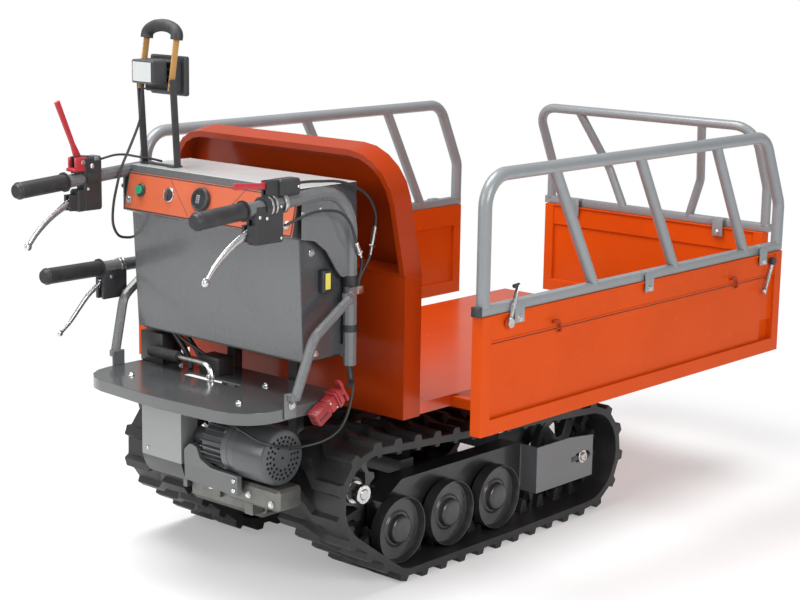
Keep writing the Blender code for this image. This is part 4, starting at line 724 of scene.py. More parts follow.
parts = [
    foot_tube((-0.006, RAIL_Y - 0.01), (1.12, RAIL_Y + 0.01)),
    bent_tube("hoop", [(0.015, RAIL_Y, TUBE_FOOT), (0.015, RAIL_Y, CAGE_TOP), (1.034, RAIL_Y, CAGE_TOP),
                       (1.11, RAIL_Y, KNEE_Z), (1.109, RAIL_Y, TUBE_FOOT)],
              [0.062, 0.058, 0.05], 0.0137, pale_grey),
]
for top_x, foot_x in ((0.232, 0.377), (0.528, 0.674), (0.825, 0.962)):
    parts.append(bent_tube("bar", [(foot_x, RAIL_Y, FOOT_TOP - 0.006), (top_x, RAIL_Y, CAGE_TOP - 0.004)], [],
                           0.0121, pale_grey))
for x in CLAMP_X:
    rear, front = x - CLAMP_HALF, x + CLAMP_HALF
    parts += strap((rear, STRAP_Y), (front, STRAP_Y + 0.004), (rear, RAIL_Y), (front, STRAP_Y + 0.0037))
cage = joined("cage_left", parts)
plug = fitted_block("plug_left", (-0.0085, RAIL_Y - 0.0106, FOOT_LOW + 0.0001),
                    (0.0012, RAIL_Y + 0.0106, FOOT_TOP + 0.0006), black_plastic)
mirror = Matrix.Diagonal((1, -1, 1, 1))
for piece, twin_name in ((cage, "cage_right"), (plug, "plug_right")):
    named(copied(piece, mirror), twin_name)
for side in SIDES:
    body = body_of("side_rail_" + side)
    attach(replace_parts(bpy.data.objects["cage_" + side], "side_rail_" + side), body)
    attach(bpy.data.objects["plug_" + side], body)
print("side cages made")

# %% Front cage
HOOP_Y = 0.336
front_x = FRONT_BOARD_X + BOARD_THICK / 2 + 0.006
lean_x, front_top = front_x - 0.072, CAGE_TOP - 0.006
parts = [
    foot_tube((front_x - 0.01, -0.352), (front_x + 0.01, 0.352)),
    bent_tube("hoop", [(front_x, HOOP_Y, TUBE_FOOT), (front_x, HOOP_Y, KNEE_Z), (lean_x, HOOP_Y, front_top),
                       (lean_x, -HOOP_Y, front_top), (front_x, -HOOP_Y, KNEE_Z),
                       (front_x, -HOOP_Y, TUBE_FOOT)],
              [0.045, 0.058, 0.058, 0.045], 0.0121, pale_grey),
]
for top_y, knee_y, foot_y in ((0.198, 0.145, 0.097), (-0.182, -0.14, -0.11)):
    parts.append(bent_tube("bar", [(front_x, foot_y, FOOT_TOP - 0.006), (front_x, knee_y, KNEE_Z),
                                   (lean_x, top_y, front_top - 0.004)], [0.045], 0.0111, pale_grey))
strap_x = FRONT_BOARD_X - 0.0003
for y in FRONT_CLAMP_Y:
    right, left = y - CLAMP_HALF, y + CLAMP_HALF
    parts += strap((strap_x - 0.004, right), (strap_x, left), (strap_x - 0.0037, right), (front_x, left))
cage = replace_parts(joined("cage_front", parts), "front_rail")
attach(cage, body_of("front_rail"))
print("front cage made")

# %% [markdown]
# ## Swage lines of the boards
# Below the top band each side board steps inwards. The fold shows as a fine rounded ridge, with a thin dark
# strip under it that is painted shadow. A second painted shadow line runs along the bottom flange, and a
# third one upright at the rear end.

# %% Ridges and painted shadow lines
# Painted shadow: a dark brown for the thin strips that stand in for the shadow at the board's steps.
ledge_shadow_finish = moulded_rubber("painted_ledge_shadow", (0.03, 0.006, 0.002), (0.045, 0.01, 0.004), 30.0, 0.5, 0.6)
SWAGE_REAR = 0.028
for side, sign in SIDES.items():
    body = body_of("side_panel_" + side)
    face = BOARD_OUT - 0.009
    ridge = turned("ridge", [(0.0018, 0.0), (0.0024, 0.0006), (0.0024, 1.0594), (0.0018, 1.06)], 12, orange,
                   facing(at(SWAGE_REAR, sign * (BOARD_OUT - 0.0046), 0.5322), (1, 0, 0)))
    sill = turned("sill", [(0.0012, 0.0), (0.0016, 0.0004), (0.0016, 1.0146), (0.0012, 1.015)], 12, orange,
                  facing(at(SWAGE_REAR, sign * (face + 0.0002), 0.379), (1, 0, 0)))
    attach(joined("swage_ridges_" + side, [ridge, sill]), body)
    inner, outer = sorted((sign * (face - 0.001), sign * (face + 0.0008)))
    # Painted shadow: thin dark strips under the ridge, along the bottom flange and upright at the rear end.
    shadow_lines = [fitted_block("joint", (rear, inner, low), (front, outer, high), ledge_shadow_finish, bevel)
              for rear, front, low, high, bevel in ((SWAGE_REAR, 1.088, 0.5262, 0.5304, 0.0003),
                                                    (SWAGE_REAR, 1.043, 0.3774, 0.3784, 0.0002),
                                                    (0.0281, 0.0296, 0.3784, 0.5262, 0.0002))]
    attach(joined("board_shadow_lines_" + side, shadow_lines), body)
print("swage lines made")

# %% [markdown]
# ## Road wheels
# Each road wheel is a pair of pressed bowls on one axle, and the belt's horns run between them. The outer
# bowl shows a thin bright lip, a deep wall, a flat floor, and a stepped boss with a domed dust cap. It is
# modelled once as rings along the axle, and each wheel is a copy that turns with its own body.

# %% Road wheels
TRACK_Y, WHEEL_Z = 0.2307, 0.1012
WHEEL_X = (0.0247, 0.1832, 0.3417)
WHEEL_RINGS = [
    (0.012, -0.0575), (0.062, -0.059), (0.0695, -0.06), (0.0706, -0.059), (0.0706, -0.035),
    (0.0695, -0.0335), (0.012, -0.033), (0.012, 0.033), (0.0695, 0.0335), (0.0706, 0.035),
    (0.0706, 0.0596), (0.07, 0.0607), (0.0688, 0.0607), (0.068, 0.0598), (0.0664, 0.047),
    (0.0648, 0.044), (0.062, 0.043), (0.04, 0.0445), (0.0388, 0.0456), (0.0372, 0.046),
    (0.0364, 0.047), (0.0352, 0.0475), (0.0316, 0.0478), (0.0306, 0.049), (0.0298, 0.056),
    (0.028, 0.0584), (0.024, 0.0598), (0.016, 0.0605), (0.006, 0.0607),
]
wheel = turned("road_wheel_model", WHEEL_RINGS, 56, wheel_black)
for side, sign in SIDES.items():
    for number, x in enumerate(WHEEL_X, start=1):
        copy = copied(wheel, facing(at(x, sign * TRACK_Y, WHEEL_Z), (0, sign, 0)))
        copy.name = f"dished_wheel_{number}_{side}"
        node = f"road_wheel_{number}_{side}"
        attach(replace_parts(copy, node), body_of(node))
bpy.data.objects.remove(wheel)
print("road wheels:", 2 * len(WHEEL_X))

# %% [markdown]
# ## Sprocket hubs and idler nuts
# The sprocket is held by a large nut on its shaft, over a turned ring that shines against the dark disc. The
# idler's axle runs in the yoke's slot, which is a black block of painted shade, with a washer and a nut outside.

# %% Hub rings and axle nuts
SPROCKET, IDLER = (-0.092, 0.203), (0.632, 0.136)
YOKE_FACE_Y = TRACK_Y + 0.0693


def hex_nut(name, across, height, finish, matrix):
    half = across / 2 / math.cos(math.radians(30))
    rings = [(half * 0.9, 0.0), (half, across * 0.06), (half, height - across * 0.06), (half * 0.9, height),
             (half * 0.52, height), (half * 0.5, height - 0.0012)]
    return turned(name, rings, 6, finish, matrix, 25)


for side, sign in SIDES.items():
    hub_place = facing(at(SPROCKET[0], sign * TRACK_Y, SPROCKET[1]), (0, sign, 0))
    ring = turned("hub_ring", [(0.019, 0.029), (0.0232, 0.029), (0.024, 0.0298), (0.024, 0.0326),
                               (0.0232, 0.0334), (0.019, 0.0334)], 40, polished, hub_place)
    nut = turned("castle_nut", [(0.0192, 0.046), (0.0203, 0.0468), (0.0203, 0.057), (0.0192, 0.0582),
                                (0.012, 0.0582), (0.0116, 0.0574)], 12, zinc, hub_place, 20)
    stub = turned("shaft_end", [(0.0104, 0.056), (0.0104, 0.059), (0.0096, 0.0598)], 24, polished, hub_place)
    pin = turned("split_pin", [(0.0016, -0.021), (0.0016, 0.021)], 8, zinc,
                 hub_place @ facing(Vector((0, 0, 0.054)), (1, 0.3, 0)))
    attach(joined("sprocket_hub_" + side, [ring, nut, stub, pin]), "drive_sprocket_" + side)
    axle_place = facing(at(IDLER[0], sign * YOKE_FACE_Y, IDLER[1]), (0, sign, 0))
    washer = turned("washer", [(0.015, 0.0001), (0.015, 0.0016), (0.0145, 0.002)], 32, zinc, axle_place)
    nut = hex_nut("idler_nut", 0.0185, 0.006, zinc, axle_place @ Matrix.Translation((0, 0, 0.0019)))
    inner, outer = sorted(sign * (YOKE_FACE_Y + depth) for depth in (-0.0012, 0.0004))
    # Painted shade: a thin black block on the yoke's face stands in for the dark of the slot.
    slot = fitted_block("yoke_slot_shade", (IDLER[0] - 0.042, inner, IDLER[1] - 0.0062),
                        (IDLER[0] - 0.008, outer, IDLER[1] + 0.0062), chassis_black, 0.0006)
    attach(joined("idler_fixing_" + side, [washer, nut, slot]), "chassis")
print("hub rings, nuts and pins set")

# %% [markdown]
# ## Motor
# The motor is a cast tube with straight cooling fins, an end bell with bolt ears, and a pressed cover over
# its fan whose face is punched with rings of holes. The cover is turned as a thin cup, and the holes are
# cut by one Boolean of joined pegs, because real holes show the dark inside from every side. The walls
# of the holes are painted black, as painted shade.

# %% Motor body with its fins
MOTOR_X, MOTOR_Z = -0.2491, 0.2966
motor_place = facing(at(MOTOR_X, 0.0, MOTOR_Z), (0, -1, 0))
core = turned("motor_core", [
    (0.018, -0.026), (0.019, -0.025), (0.019, 0.0262), (0.02, 0.0272), (0.026, 0.028),
    (0.04, 0.0292), (0.0455, 0.0312), (0.046, 0.033), (0.046, 0.093)], 56, motor_grey, motor_place)
FIN_COUNT = 26
fin = block("fin", (0.0445, -0.0011, 0.031), (0.0528, 0.0011, 0.0925), motor_grey, 0.0006)
fins = [copied(fin, motor_place @ Matrix.Rotation(math.tau * k / FIN_COUNT, 4, "Z"))
        for k in range(FIN_COUNT)]
bpy.data.objects.remove(fin)
motor_body = joined("motor_body", [core, *fins])
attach(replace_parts(motor_body, "drive_motor"), "chassis")

# %% End bell with bolt ears
bell = turned("end_bell", [
    (0.044, 0.0926), (0.053, 0.0926), (0.0544, 0.094), (0.0544, 0.109), (0.053, 0.1105),
    (0.053, 0.113), (0.0544, 0.1145), (0.0544, 0.131)], 56, bell_grey, motor_place)
parts = [bell]
for k in range(4):
    spin = motor_place @ Matrix.Rotation(math.radians(45 + 90 * k), 4, "Z")
    parts.append(block("ear", (0.046, -0.007, 0.0935), (0.054, 0.007, 0.108), bell_grey, matrix=spin))
    parts.append(hex_nut("ear_bolt", 0.008, 0.0042, zinc, spin @ Matrix.Translation((0.049, 0, 0.0885))))
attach(joined("motor_end_bell", parts), "chassis")

# %% Punched fan cover
cover = turned("fan_cover", [
    (0.048, 0.2125), (0.0535, 0.2105), (0.0555, 0.206), (0.0555, 0.13), (0.0574, 0.13),
    (0.0574, 0.207), (0.0566, 0.211), (0.0545, 0.2138), (0.051, 0.2149), (0.02, 0.2149)],
    64, motor_grey, motor_place)
pegs = [turned("peg", [(0.003, 0.205), (0.003, 0.22)], 12, black_plastic, motor_place)]
for radius, count in ((0.025, 13), (0.0335, 18), (0.042, 24)):
    for k in range(count):
        angle = math.tau * (k + 0.3) / count
        aside = Matrix.Translation((radius * math.cos(angle), radius * math.sin(angle), 0))
        pegs.append(copied(pegs[0], motor_place @ aside @ motor_place.inverted()))
peg_tool = joined("pegs", pegs)
punch = cover.modifiers.new("punch", "BOOLEAN")
punch.object = peg_tool
punch.operation = "DIFFERENCE"
punch.solver = "EXACT"
choose(cover)
bpy.ops.object.modifier_apply(modifier="punch")
bpy.ops.object.shade_smooth_by_angle(angle=math.radians(30))
bpy.data.objects.remove(peg_tool)
out_of_motor = motor_place.inverted()
# Painted shade: the walls of the holes take black plastic, so that the holes read dark.
painted(cover, black_plastic, lambda middle, normal: (out_of_motor @ middle).xy.length < 0.047
        and abs((out_of_motor.to_3x3() @ normal).z) < 0.5)
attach(cover, "chassis")
backing = turned("fan_blade_disc", [(0.048, 0.198), (0.048, 0.202), (0.047, 0.203)], 40, black_plastic,
                 motor_place)
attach(backing, "chassis")
print("fan cover faces:", len(cover.data.polygons))

# %% [markdown]
# ## Bolts and screws
# Small plated fixings are what tells a real machine from a toy. Two kinds are modelled once: a hexagon bolt
# on its washer, and a round-headed screw with a recess. Each one on the barrow is a copy, and all those on
# one body are joined.

# %% The two fixings
def hex_bolt_model():
    washer = turned("bolt_washer", [(1.28, 0.0), (1.34, 0.05), (1.34, 0.2), (1.26, 0.26)], 24, zinc)
    head = turned("bolt_head", [(0.98, 0.2), (1.0, 0.28), (1.0, 0.74), (0.86, 0.86), (0.45, 0.88),
                                (0.42, 0.8)], 6, zinc, None, 25)
    return joined("hex_bolt_model", [washer, head])


def screw_model():
    return turned("screw_model", [(1.0, 0.0), (1.05, 0.12), (1.0, 0.3), (0.86, 0.46), (0.6, 0.58),
                                  (0.42, 0.62), (0.4, 0.4)], 20, zinc)


hex_bolt, round_screw = hex_bolt_model(), screw_model()


def fixings(name, body, model, seats):
    """seats are (point, direction, radius); all copies are joined into one piece on one body."""
    copies = [copied(model, facing(at(*point), direction) @ Matrix.Scale(radius, 4))
              for point, direction, radius in seats]
    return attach(joined(name, copies), body)


# %% Fixings of the load bed
CLAMP_BOLT = 0.0052
for side, sign in SIDES.items():
    seats = [((x, sign * (BOARD_OUT + 0.0043), 0.5705), (0, sign, 0), CLAMP_BOLT) for x in CLAMP_X]
    fixings("rail_clamp_bolts_" + side, "side_extension_" + side, hex_bolt, seats)
seats = [((strap_x - 0.0043, y, 0.5715), (-1, 0, 0), CLAMP_BOLT) for y in FRONT_CLAMP_Y]
fixings("front_clamp_bolts", "front_extension", hex_bolt, seats)

# %% Fixings of the operator's end
PANEL_OUT = Vector((-0.9746, 0, 0.224))
FLANK_Y, PLATE_TOP, COVER_X, CASTING_X = 0.2453, 0.4101, -0.3003, -0.2803
LEFT_BRACKET_Y, RIGHT_BRACKET_Y = 0.2463, -0.2767


def both_sides(x, y, z, radius):
    """The same seat on the right and on the left side, facing outwards."""
    return [((x, sign * y, z), (0, sign, 0), radius) for sign in (-1, 1)]


seats = [seat for place in (
    (-0.2035, FLANK_Y, 0.704, 0.0055), (-0.127, 0.2811, 0.617, 0.0062), (-0.269, 0.2595, 0.415, 0.0062),
    (-0.19, FLANK_Y, 0.502, 0.0055), (-0.245, 0.2637, 0.786, 0.0034), (-0.1952, 0.2637, 0.7899, 0.0034),
) for seat in both_sides(*place)]
seats += [((x, y, PLATE_TOP), (0, 0, 1), 0.0058)
          for x, y in ((-0.183, 0.155), (-0.183, -0.098), (-0.3161, -0.1613), (-0.3161, 0.1613))]
seats += [((-0.2551, y, 0.762), PANEL_OUT, 0.006) for y in (0.232, -0.23)]
fixings("console_bolts", "chassis", hex_bolt, seats)
seats = [((x, y, z), (0, -1, 0), radius) for x, y, z, radius in (
    (-0.3393, LEFT_BRACKET_Y, 0.836, 0.0056), (-0.33, LEFT_BRACKET_Y, 0.809, 0.0026),
    (-0.342, LEFT_BRACKET_Y, 0.813, 0.0026), (-0.35, LEFT_BRACKET_Y, 0.79, 0.0034),
    (-0.37, RIGHT_BRACKET_Y, 0.794, 0.0036), (-0.352, RIGHT_BRACKET_Y, 0.7907, 0.0036),
    (-0.315, RIGHT_BRACKET_Y, 0.809, 0.003), (-0.315, RIGHT_BRACKET_Y, 0.75, 0.003),
    (-0.27, RIGHT_BRACKET_Y, 0.843, 0.003))]
fixings("bracket_screws", "chassis", round_screw, seats)
seats = [((COVER_X, y, z), (-1, 0, 0), radius) for y, z, radius in (
    (0.13, 0.37, 0.004), (0.13, 0.26, 0.004), (-0.128, 0.242, 0.005), (-0.128, 0.222, 0.005))]
fixings("cover_screws", "chassis", round_screw, seats)
seats = [((CASTING_X, y, z), (-1, 0, 0), 0.0055) for y, z in ((-0.15, 0.215), (-0.215, 0.208))]
fixings("casting_bolts", "chassis", hex_bolt, seats)
for spent in (hex_bolt, round_screw):
    bpy.data.objects.remove(spent)
print("fixings set")

# %% [markdown]
# ## Facia
# The orange facia has a thin dark edge all round and two dark lines that close in below the gauge. The start
# button sits in a black bezel, the key switch in a plated ring, and the gauge has a domed glass over a white
# window with plain bars. Nothing is lettered here.

# %% Places on the sloping facia
PANEL_LOW, PANEL_HIGH = Vector((-0.2562, 0, 0.7395)), Vector((-0.2385, 0, 0.8165))
FACIA_THICK = 0.0038


def on_facia(y, share):
    """A place on the facia, from side to side in metres and from low to high as a share."""
    point = PANEL_LOW.lerp(PANEL_HIGH, share) + PANEL_OUT * FACIA_THICK
    return (point.x, y, point.z)


def strip(name, start, end, width, thick, finish):
    """A thin bar that lies on the facia from one place to another."""
    start, end = at(*start), at(*end)
    along = (end - start).normalized()
    turn = Matrix((along, PANEL_OUT.cross(along), PANEL_OUT)).transposed().to_4x4()
    return block(name, (0, -width / 2, -thick / 2), ((end - start).length, width / 2, thick / 2), finish,
                 thick * 0.3, 1, Matrix.Translation(start) @ turn)


# %% Trim and dark lines
EDGE_Y = 0.2445
trim = [strip("trim", on_facia(*start), on_facia(*end), width, thick, black_plastic)
        for start, end, width, thick in (
    ((EDGE_Y, 0.03), (-EDGE_Y, 0.03), 0.003, 0.0008), ((EDGE_Y, 0.97), (-EDGE_Y, 0.97), 0.002, 0.0008),
    ((EDGE_Y, 0.02), (EDGE_Y, 0.98), 0.003, 0.0008), ((-EDGE_Y, 0.02), (-EDGE_Y, 0.98), 0.003, 0.0008),
    ((0.116, 0.96), (0.045, 0.05), 0.0012, 0.0006), ((-0.104, 0.96), (-0.033, 0.05), 0.0012, 0.0006))]
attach(joined("facia_trim", trim), "chassis")

# %% Bezels, gauge window and glass
button_place = facing(at(*on_facia(0.2, 0.56)), PANEL_OUT)
bezel = turned("button_bezel", [(0.0135, 0.0002), (0.0138, 0.001), (0.0132, 0.0034), (0.0118, 0.0044),
                                (0.0104, 0.0044), (0.0101, 0.0007)], 40, black_plastic, button_place)
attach(bezel, "chassis")
key_place = facing(at(*on_facia(0.114, 0.55)), PANEL_OUT)
KEY_BARREL = 0.0068
ring = turned("key_ring", [(0.015, 0.0001), (0.015, 0.001), (0.014, 0.0022), (0.0126, 0.0022),
                           (0.012, 0.0006)], 40, zinc, key_place)
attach(ring, "chassis")
out_of_key = key_place.inverted()
painted(rounded["key_switch"], black_plastic, lambda middle, normal: (out_of_key @ middle).z < KEY_BARREL)
gauge_place = facing(at(*on_facia(0.014, 0.56)), PANEL_OUT)
rim = turned("gauge_rim", [(0.0236, 0.0002), (0.024, 0.002), (0.0238, 0.008), (0.0226, 0.0096),
                           (0.0208, 0.01), (0.0196, 0.0092), (0.019, 0.007)],
             48, black_plastic, gauge_place)
window = block("window", (-0.01, -0.008, 0.0072), (-0.001, 0.008, 0.0078), gauge_white, 0.0003, 1,
               gauge_place)
bars = [block("bar", (-0.0085, -0.0068 + 0.0036 * k, 0.0077), (-0.0025, -0.0046 + 0.0036 * k, 0.0082),
              black_plastic, 0.0002, 1, gauge_place) for k in range(4)]
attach(rim, "chassis")
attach(joined("gauge_window", [window, *bars]), "chassis")
dome = turned("gauge_glass", [(0.0192, 0.0086), (0.019, 0.0092), (0.015, 0.0098), (0.008, 0.0101)],
              40, glass, gauge_place)
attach(dome, "chassis")
print("facia dressed")

# %% [markdown]
# ## Console and handlebars
# Two black rubber bands are drawn round each handlebar below the gusset, and three plated hose clips sit by
# the right grip. On the left a red fork with a pin carries the throttle lever, beside a domed cap. A small
# black box with a yellow tag hangs on the console's right flank, and the gear lever wears a collar where it
# passes the base plate.

# %% Bands and clips
BAR_X, BAR_Y = -0.11, 0.2615
FORK_PIVOT = (-0.3605, BAR_Y, 0.8455)
for side, sign in SIDES.items():
    bands = []
    for z, height in ((0.64, 0.022), (0.545, 0.014)):
        place = facing(at(BAR_X, sign * BAR_Y, z - height / 2), (0, 0, 1))
        bands.append(turned("band", [(0.0142, 0.0), (0.015, 0.0008), (0.0152, height / 2),
                                     (0.015, height - 0.0008), (0.0142, height)], 32, grip_rubber, place))
    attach(joined("cable_bands_" + side, bands), "chassis")

GRIP_FOOT = Vector((-0.2, -BAR_Y, 0.8203))
slope = (Vector((-0.397, -BAR_Y, 0.8075)) - GRIP_FOOT).normalized()
clips = []
for reach, width in ((0.126, 0.0045), (0.137, 0.0045), (0.098, 0.009)):
    place = facing(at(*(GRIP_FOOT + slope * reach)), slope)
    clips.append(turned("clip", [(0.0146, 0.0), (0.0203, 0.0), (0.0206, 0.0008), (0.0206, width - 0.0008),
                                 (0.0203, width), (0.0146, width)], 40, zinc, place))
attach(joined("grip_clips", clips), "chassis")
fork = [fitted_block("fork", (-0.385, BAR_Y - 0.013, 0.8265), (-0.344, BAR_Y + 0.013, 0.8345),
                     red_plastic, 0.003)]
for right, left in ((-0.013, -0.0068), (0.0068, 0.013)):
    fork.append(fitted_block("fork", (-0.38, BAR_Y + right, 0.83), (-0.348, BAR_Y + left, 0.856),
                             red_plastic, 0.0028))
fork.append(turned("fork_pin", [(0.004, -0.0146), (0.0048, -0.014), (0.0048, 0.014), (0.004, 0.0146)],
                   20, zinc, facing(at(*FORK_PIVOT), (0, 1, 0))))
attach(joined("throttle_fork", fork), "chassis")
cap = turned("bracket_cap", [(0.015, 0.0), (0.0165, 0.0012), (0.016, 0.0055), (0.012, 0.0085),
                             (0.005, 0.0095)], 28, tube_grey, Matrix.Translation(at(-0.326, BAR_Y, 0.8465)))
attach(cap, "chassis")

# %% Flank box, tag and gear collar
box_place = Matrix.Translation(at(-0.184, -FLANK_Y, 0.624))
box = block("flank_box", (0, -0.014, 0), (0.026, 0, 0.044), black_plastic, 0.0025, 3, box_place)
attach(box, "chassis")
tag = block("flank_tag", (0.006, -0.0149, 0.006), (0.02, -0.0141, 0.038), yellow_tag, 0.0003, 1, box_place)
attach(tag, "chassis")
collar = turned("gear_collar", [(0.0058, 0.412), (0.0098, 0.4125), (0.0102, 0.414), (0.0102, 0.42),
                                (0.0096, 0.4212), (0.006, 0.4216)], 32, zinc,
                Matrix.Translation(at(-0.223, 0.02, 0)))
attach(collar, "gear_shift")
print("console dressed")

# %% [markdown]
# ## Under the console
# The photograph shows a dark cluster behind the red connector, under the console. It is modelled as a charger
# box, a smaller relay box and three hoses that come down between them. Their form is a guess.

# %% Boxes and hoses under the console
box = fitted_block("charger_box", (-0.21, 0.185, 0.41), (-0.156, 0.256, 0.476), black_plastic, 0.003)
relay = fitted_block("relay_box", (-0.198, 0.025, 0.41), (-0.156, 0.085, 0.448), black_plastic, 0.0025)
hoses = [tube_along("hose", smooth_route(route), radius, 5) for radius, route in (
    (0.0065, [(-0.186, 0.196, 0.495), (-0.186, 0.165, 0.47), (-0.188, 0.135, 0.442), (-0.19, 0.118, 0.411)]),
    (0.005, [(-0.17, 0.18, 0.495), (-0.172, 0.145, 0.469), (-0.174, 0.112, 0.44), (-0.176, 0.096, 0.411)]),
    (0.0035, [(-0.198, 0.168, 0.495), (-0.199, 0.135, 0.474), (-0.196, 0.1, 0.46), (-0.188, 0.07, 0.444)]))]
for hose in hoses:
    hose.data.materials.append(cable_sheath)
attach(joined("wiring_loom", hoses), "chassis")
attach(box, "chassis")
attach(relay, "chassis")
print("loom and boxes made")

# %% [markdown]
# ## Tipping handle
# The bed is tipped by a level tube at its rear left corner, which runs back beside the console to a ribbed
# grip. A plate holds it to the head board, a sleeve stiffens it, and the release lever hangs from a black
# bracket of two cheeks and a web, held by two hose clips.

# %% Tipping handle: tube, lever bracket and clips
TIP_Y, TIP_Z, TIP_ROOT = 0.308, 0.609, -0.0141
tip_body = body_of("tipping_handle")
parts = [bent_tube("tip_tube", [(TIP_ROOT, TIP_Y, TIP_Z), (-0.416, TIP_Y, TIP_Z)], [], 0.0105, tube_grey),
         bent_tube("tip_sleeve", [(-0.15, TIP_Y, TIP_Z), (-0.2735, TIP_Y, TIP_Z)], [], 0.0135, tube_grey),
         fitted_block("tip_pad", (TIP_ROOT - 0.004, TIP_Y - 0.018, TIP_Z - 0.026),
                      (TIP_ROOT, TIP_Y + 0.012, TIP_Z + 0.026), tube_grey)]
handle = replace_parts(joined("tip_handle_tube", parts), "tipping_handle")
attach(handle, tip_body)
parts = [fitted_block("cheek", (-0.276, TIP_Y + right, 0.543), (-0.212, TIP_Y + left, 0.604),
                      black_plastic, 0.003) for right, left in ((0.0052, 0.014), (-0.014, -0.0052))]
parts.append(fitted_block("web", (-0.228, TIP_Y - 0.01, 0.546), (-0.213, TIP_Y + 0.01, 0.6),
                          black_plastic))
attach(joined("tip_bracket", parts), tip_body)
clip_rings = [(0.0134, 0.0), (0.0156, 0.0), (0.016, 0.0008), (0.016, 0.0034), (0.0156, 0.0042),
              (0.0134, 0.0042)]
parts = [turned("clip", clip_rings, 32, zinc, facing(at(x, TIP_Y, TIP_Z), (1, 0, 0)))
         for x in (-0.226, -0.218)]
parts += [turned("bolt", [(0.004, 0.0), (0.0044, 0.0006), (0.004, 0.0024), (0.0022, 0.003)], 16, zinc,
                 facing(at(x, TIP_Y - 0.014, z), (0, -1, 0))) for x, z in ((-0.256, 0.59), (-0.222, 0.556))]
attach(joined("tip_clips", parts), tip_body)
print("tipping handle dressed")

# %% [markdown]
# ## Battery connector
# Two moulded halves pushed together, each ribbed for grip, with a finger bar on a neck to pull them
# apart. The two contact openings are black blocks of painted shade, a black strip lies along the flank,
# and two plated pins show on the flank.

# %% Connector halves
along = Vector((0.86, 0.0, 0.51)).normalized()
across = Vector((-along.z, 0.0, along.x))
plug_place = Matrix((along, (0, 1, 0), across)).transposed().to_4x4()
plug_place.translation = at(-0.186, -0.279, 0.406)
connector_body = body_of("power_connector")


def red_block(low, high, bevel=0.0012, finish=connector_red):
    return block("half", low, high, finish, bevel, 2, plug_place)


parts = [red_block((-0.048, -0.012, -0.014), (-0.01, 0.012, 0.014), 0.002),
         red_block((-0.0075, -0.012, -0.014), (0.012, 0.012, 0.014), 0.002),
         red_block((-0.012, -0.01, -0.012), (0.014, 0.01, 0.012), 0.0008),
         red_block((0.0125, -0.0145, -0.0175), (0.018, 0.0145, 0.0175), 0.0015),
         red_block((0.02, -0.013, -0.0155), (0.031, 0.013, 0.0155), 0.002),
         red_block((0.017, -0.01, -0.012), (0.022, 0.01, 0.012), 0.0008),
         red_block((0.029, -0.005, -0.007), (0.042, 0.005, 0.007)),
         red_block((0.04, -0.006, -0.026), (0.047, 0.006, 0.026), 0.0022)]
for z in (-0.0125, -0.0075, 0.0025, 0.0075, 0.0125):
    parts.append(red_block((-0.046, -0.0129, z - 0.0012), (-0.012, 0.0129, z + 0.0012), 0.0005))
for x in (-0.043, -0.035, -0.027, -0.019):
    parts.append(red_block((x, -0.0105, -0.0149), (x + 0.003, 0.0105, 0.0149), 0.0006))
for z in (-0.02, 0.012):
    parts.append(red_block((0.0395, -0.0066, z), (0.0475, 0.0066, z + 0.008), 0.0012))
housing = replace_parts(joined("connector_halves", parts), "power_connector")
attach(housing, connector_body)
# Painted shade: black blocks in place of the two contact openings, and a black strip on the flank.
opening_shade = [red_block((-0.0483, -0.006, low), (-0.047, 0.006, low + 0.008), 0.0005, black_plastic)
        for low in (-0.01, 0.002)]
opening_shade.append(red_block((-0.044, -0.0134, -0.0045), (-0.018, -0.0118, -0.0005), 0.0005, black_plastic))
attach(joined("contact_opening_shade", opening_shade), connector_body)
pin = [(0.0022, 0.0), (0.0025, 0.0004), (0.0022, 0.0016), (0.0012, 0.002)]
pins = [turned("pin", pin, 14, zinc, plug_place @ facing(Vector((x, -0.0125, z)), (0, -1, 0)))
        for x, z in ((-0.005, 0.009), (0.007, -0.009))]
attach(joined("connector_pins", pins), connector_body)
print("connector made")

# %% [markdown]
# ## Levers
# The brake-type levers are polished castings: a flattened, tapering curve with a ball at its tip. Each is a
# tube whose radius changes along a smooth route, squeezed flat sideways. The red throttle levers are
# moulded bars, broad at the pivot and narrower from their waist on.

# %% Cast levers
def cast_lever(name, points, y, radii, flatness, ball, finish):
    """radii are at the boss and the tip; the flatness is a share of the round section's width."""
    route = smooth_route([(x, y, z) for x, z in points])
    last = len(route) - 1
    swell = [radii[0] + (radii[1] - radii[0]) * (k / last) ** 0.6 for k in range(last + 1)]
    squeeze = (Matrix.Translation((0, y, 0)) @ Matrix.Scale(flatness, 4, (0, 1, 0))
               @ Matrix.Translation((0, -y, 0)))
    lever = settled(swept(name, route, 1.0, 4, swell), name, finish, squeeze, 60)
    rings = [(ball * math.sin(t), -ball * math.cos(t)) for t in (0.3, 0.7, 1.15, 1.57, 2.0, 2.45, 2.85)]
    tip = turned("tip", rings, 20, finish, Matrix.Translation(route[-1]) @ Matrix.Scale(0.62, 4, (0, 1, 0)))
    boss = turned("boss", [(0.0075, -0.0037), (0.0084, -0.003), (0.0084, 0.003), (0.0075, 0.0037)],
                  28, finish, facing(route[0], (0, 1, 0)))
    return joined(name, [lever, tip, boss])


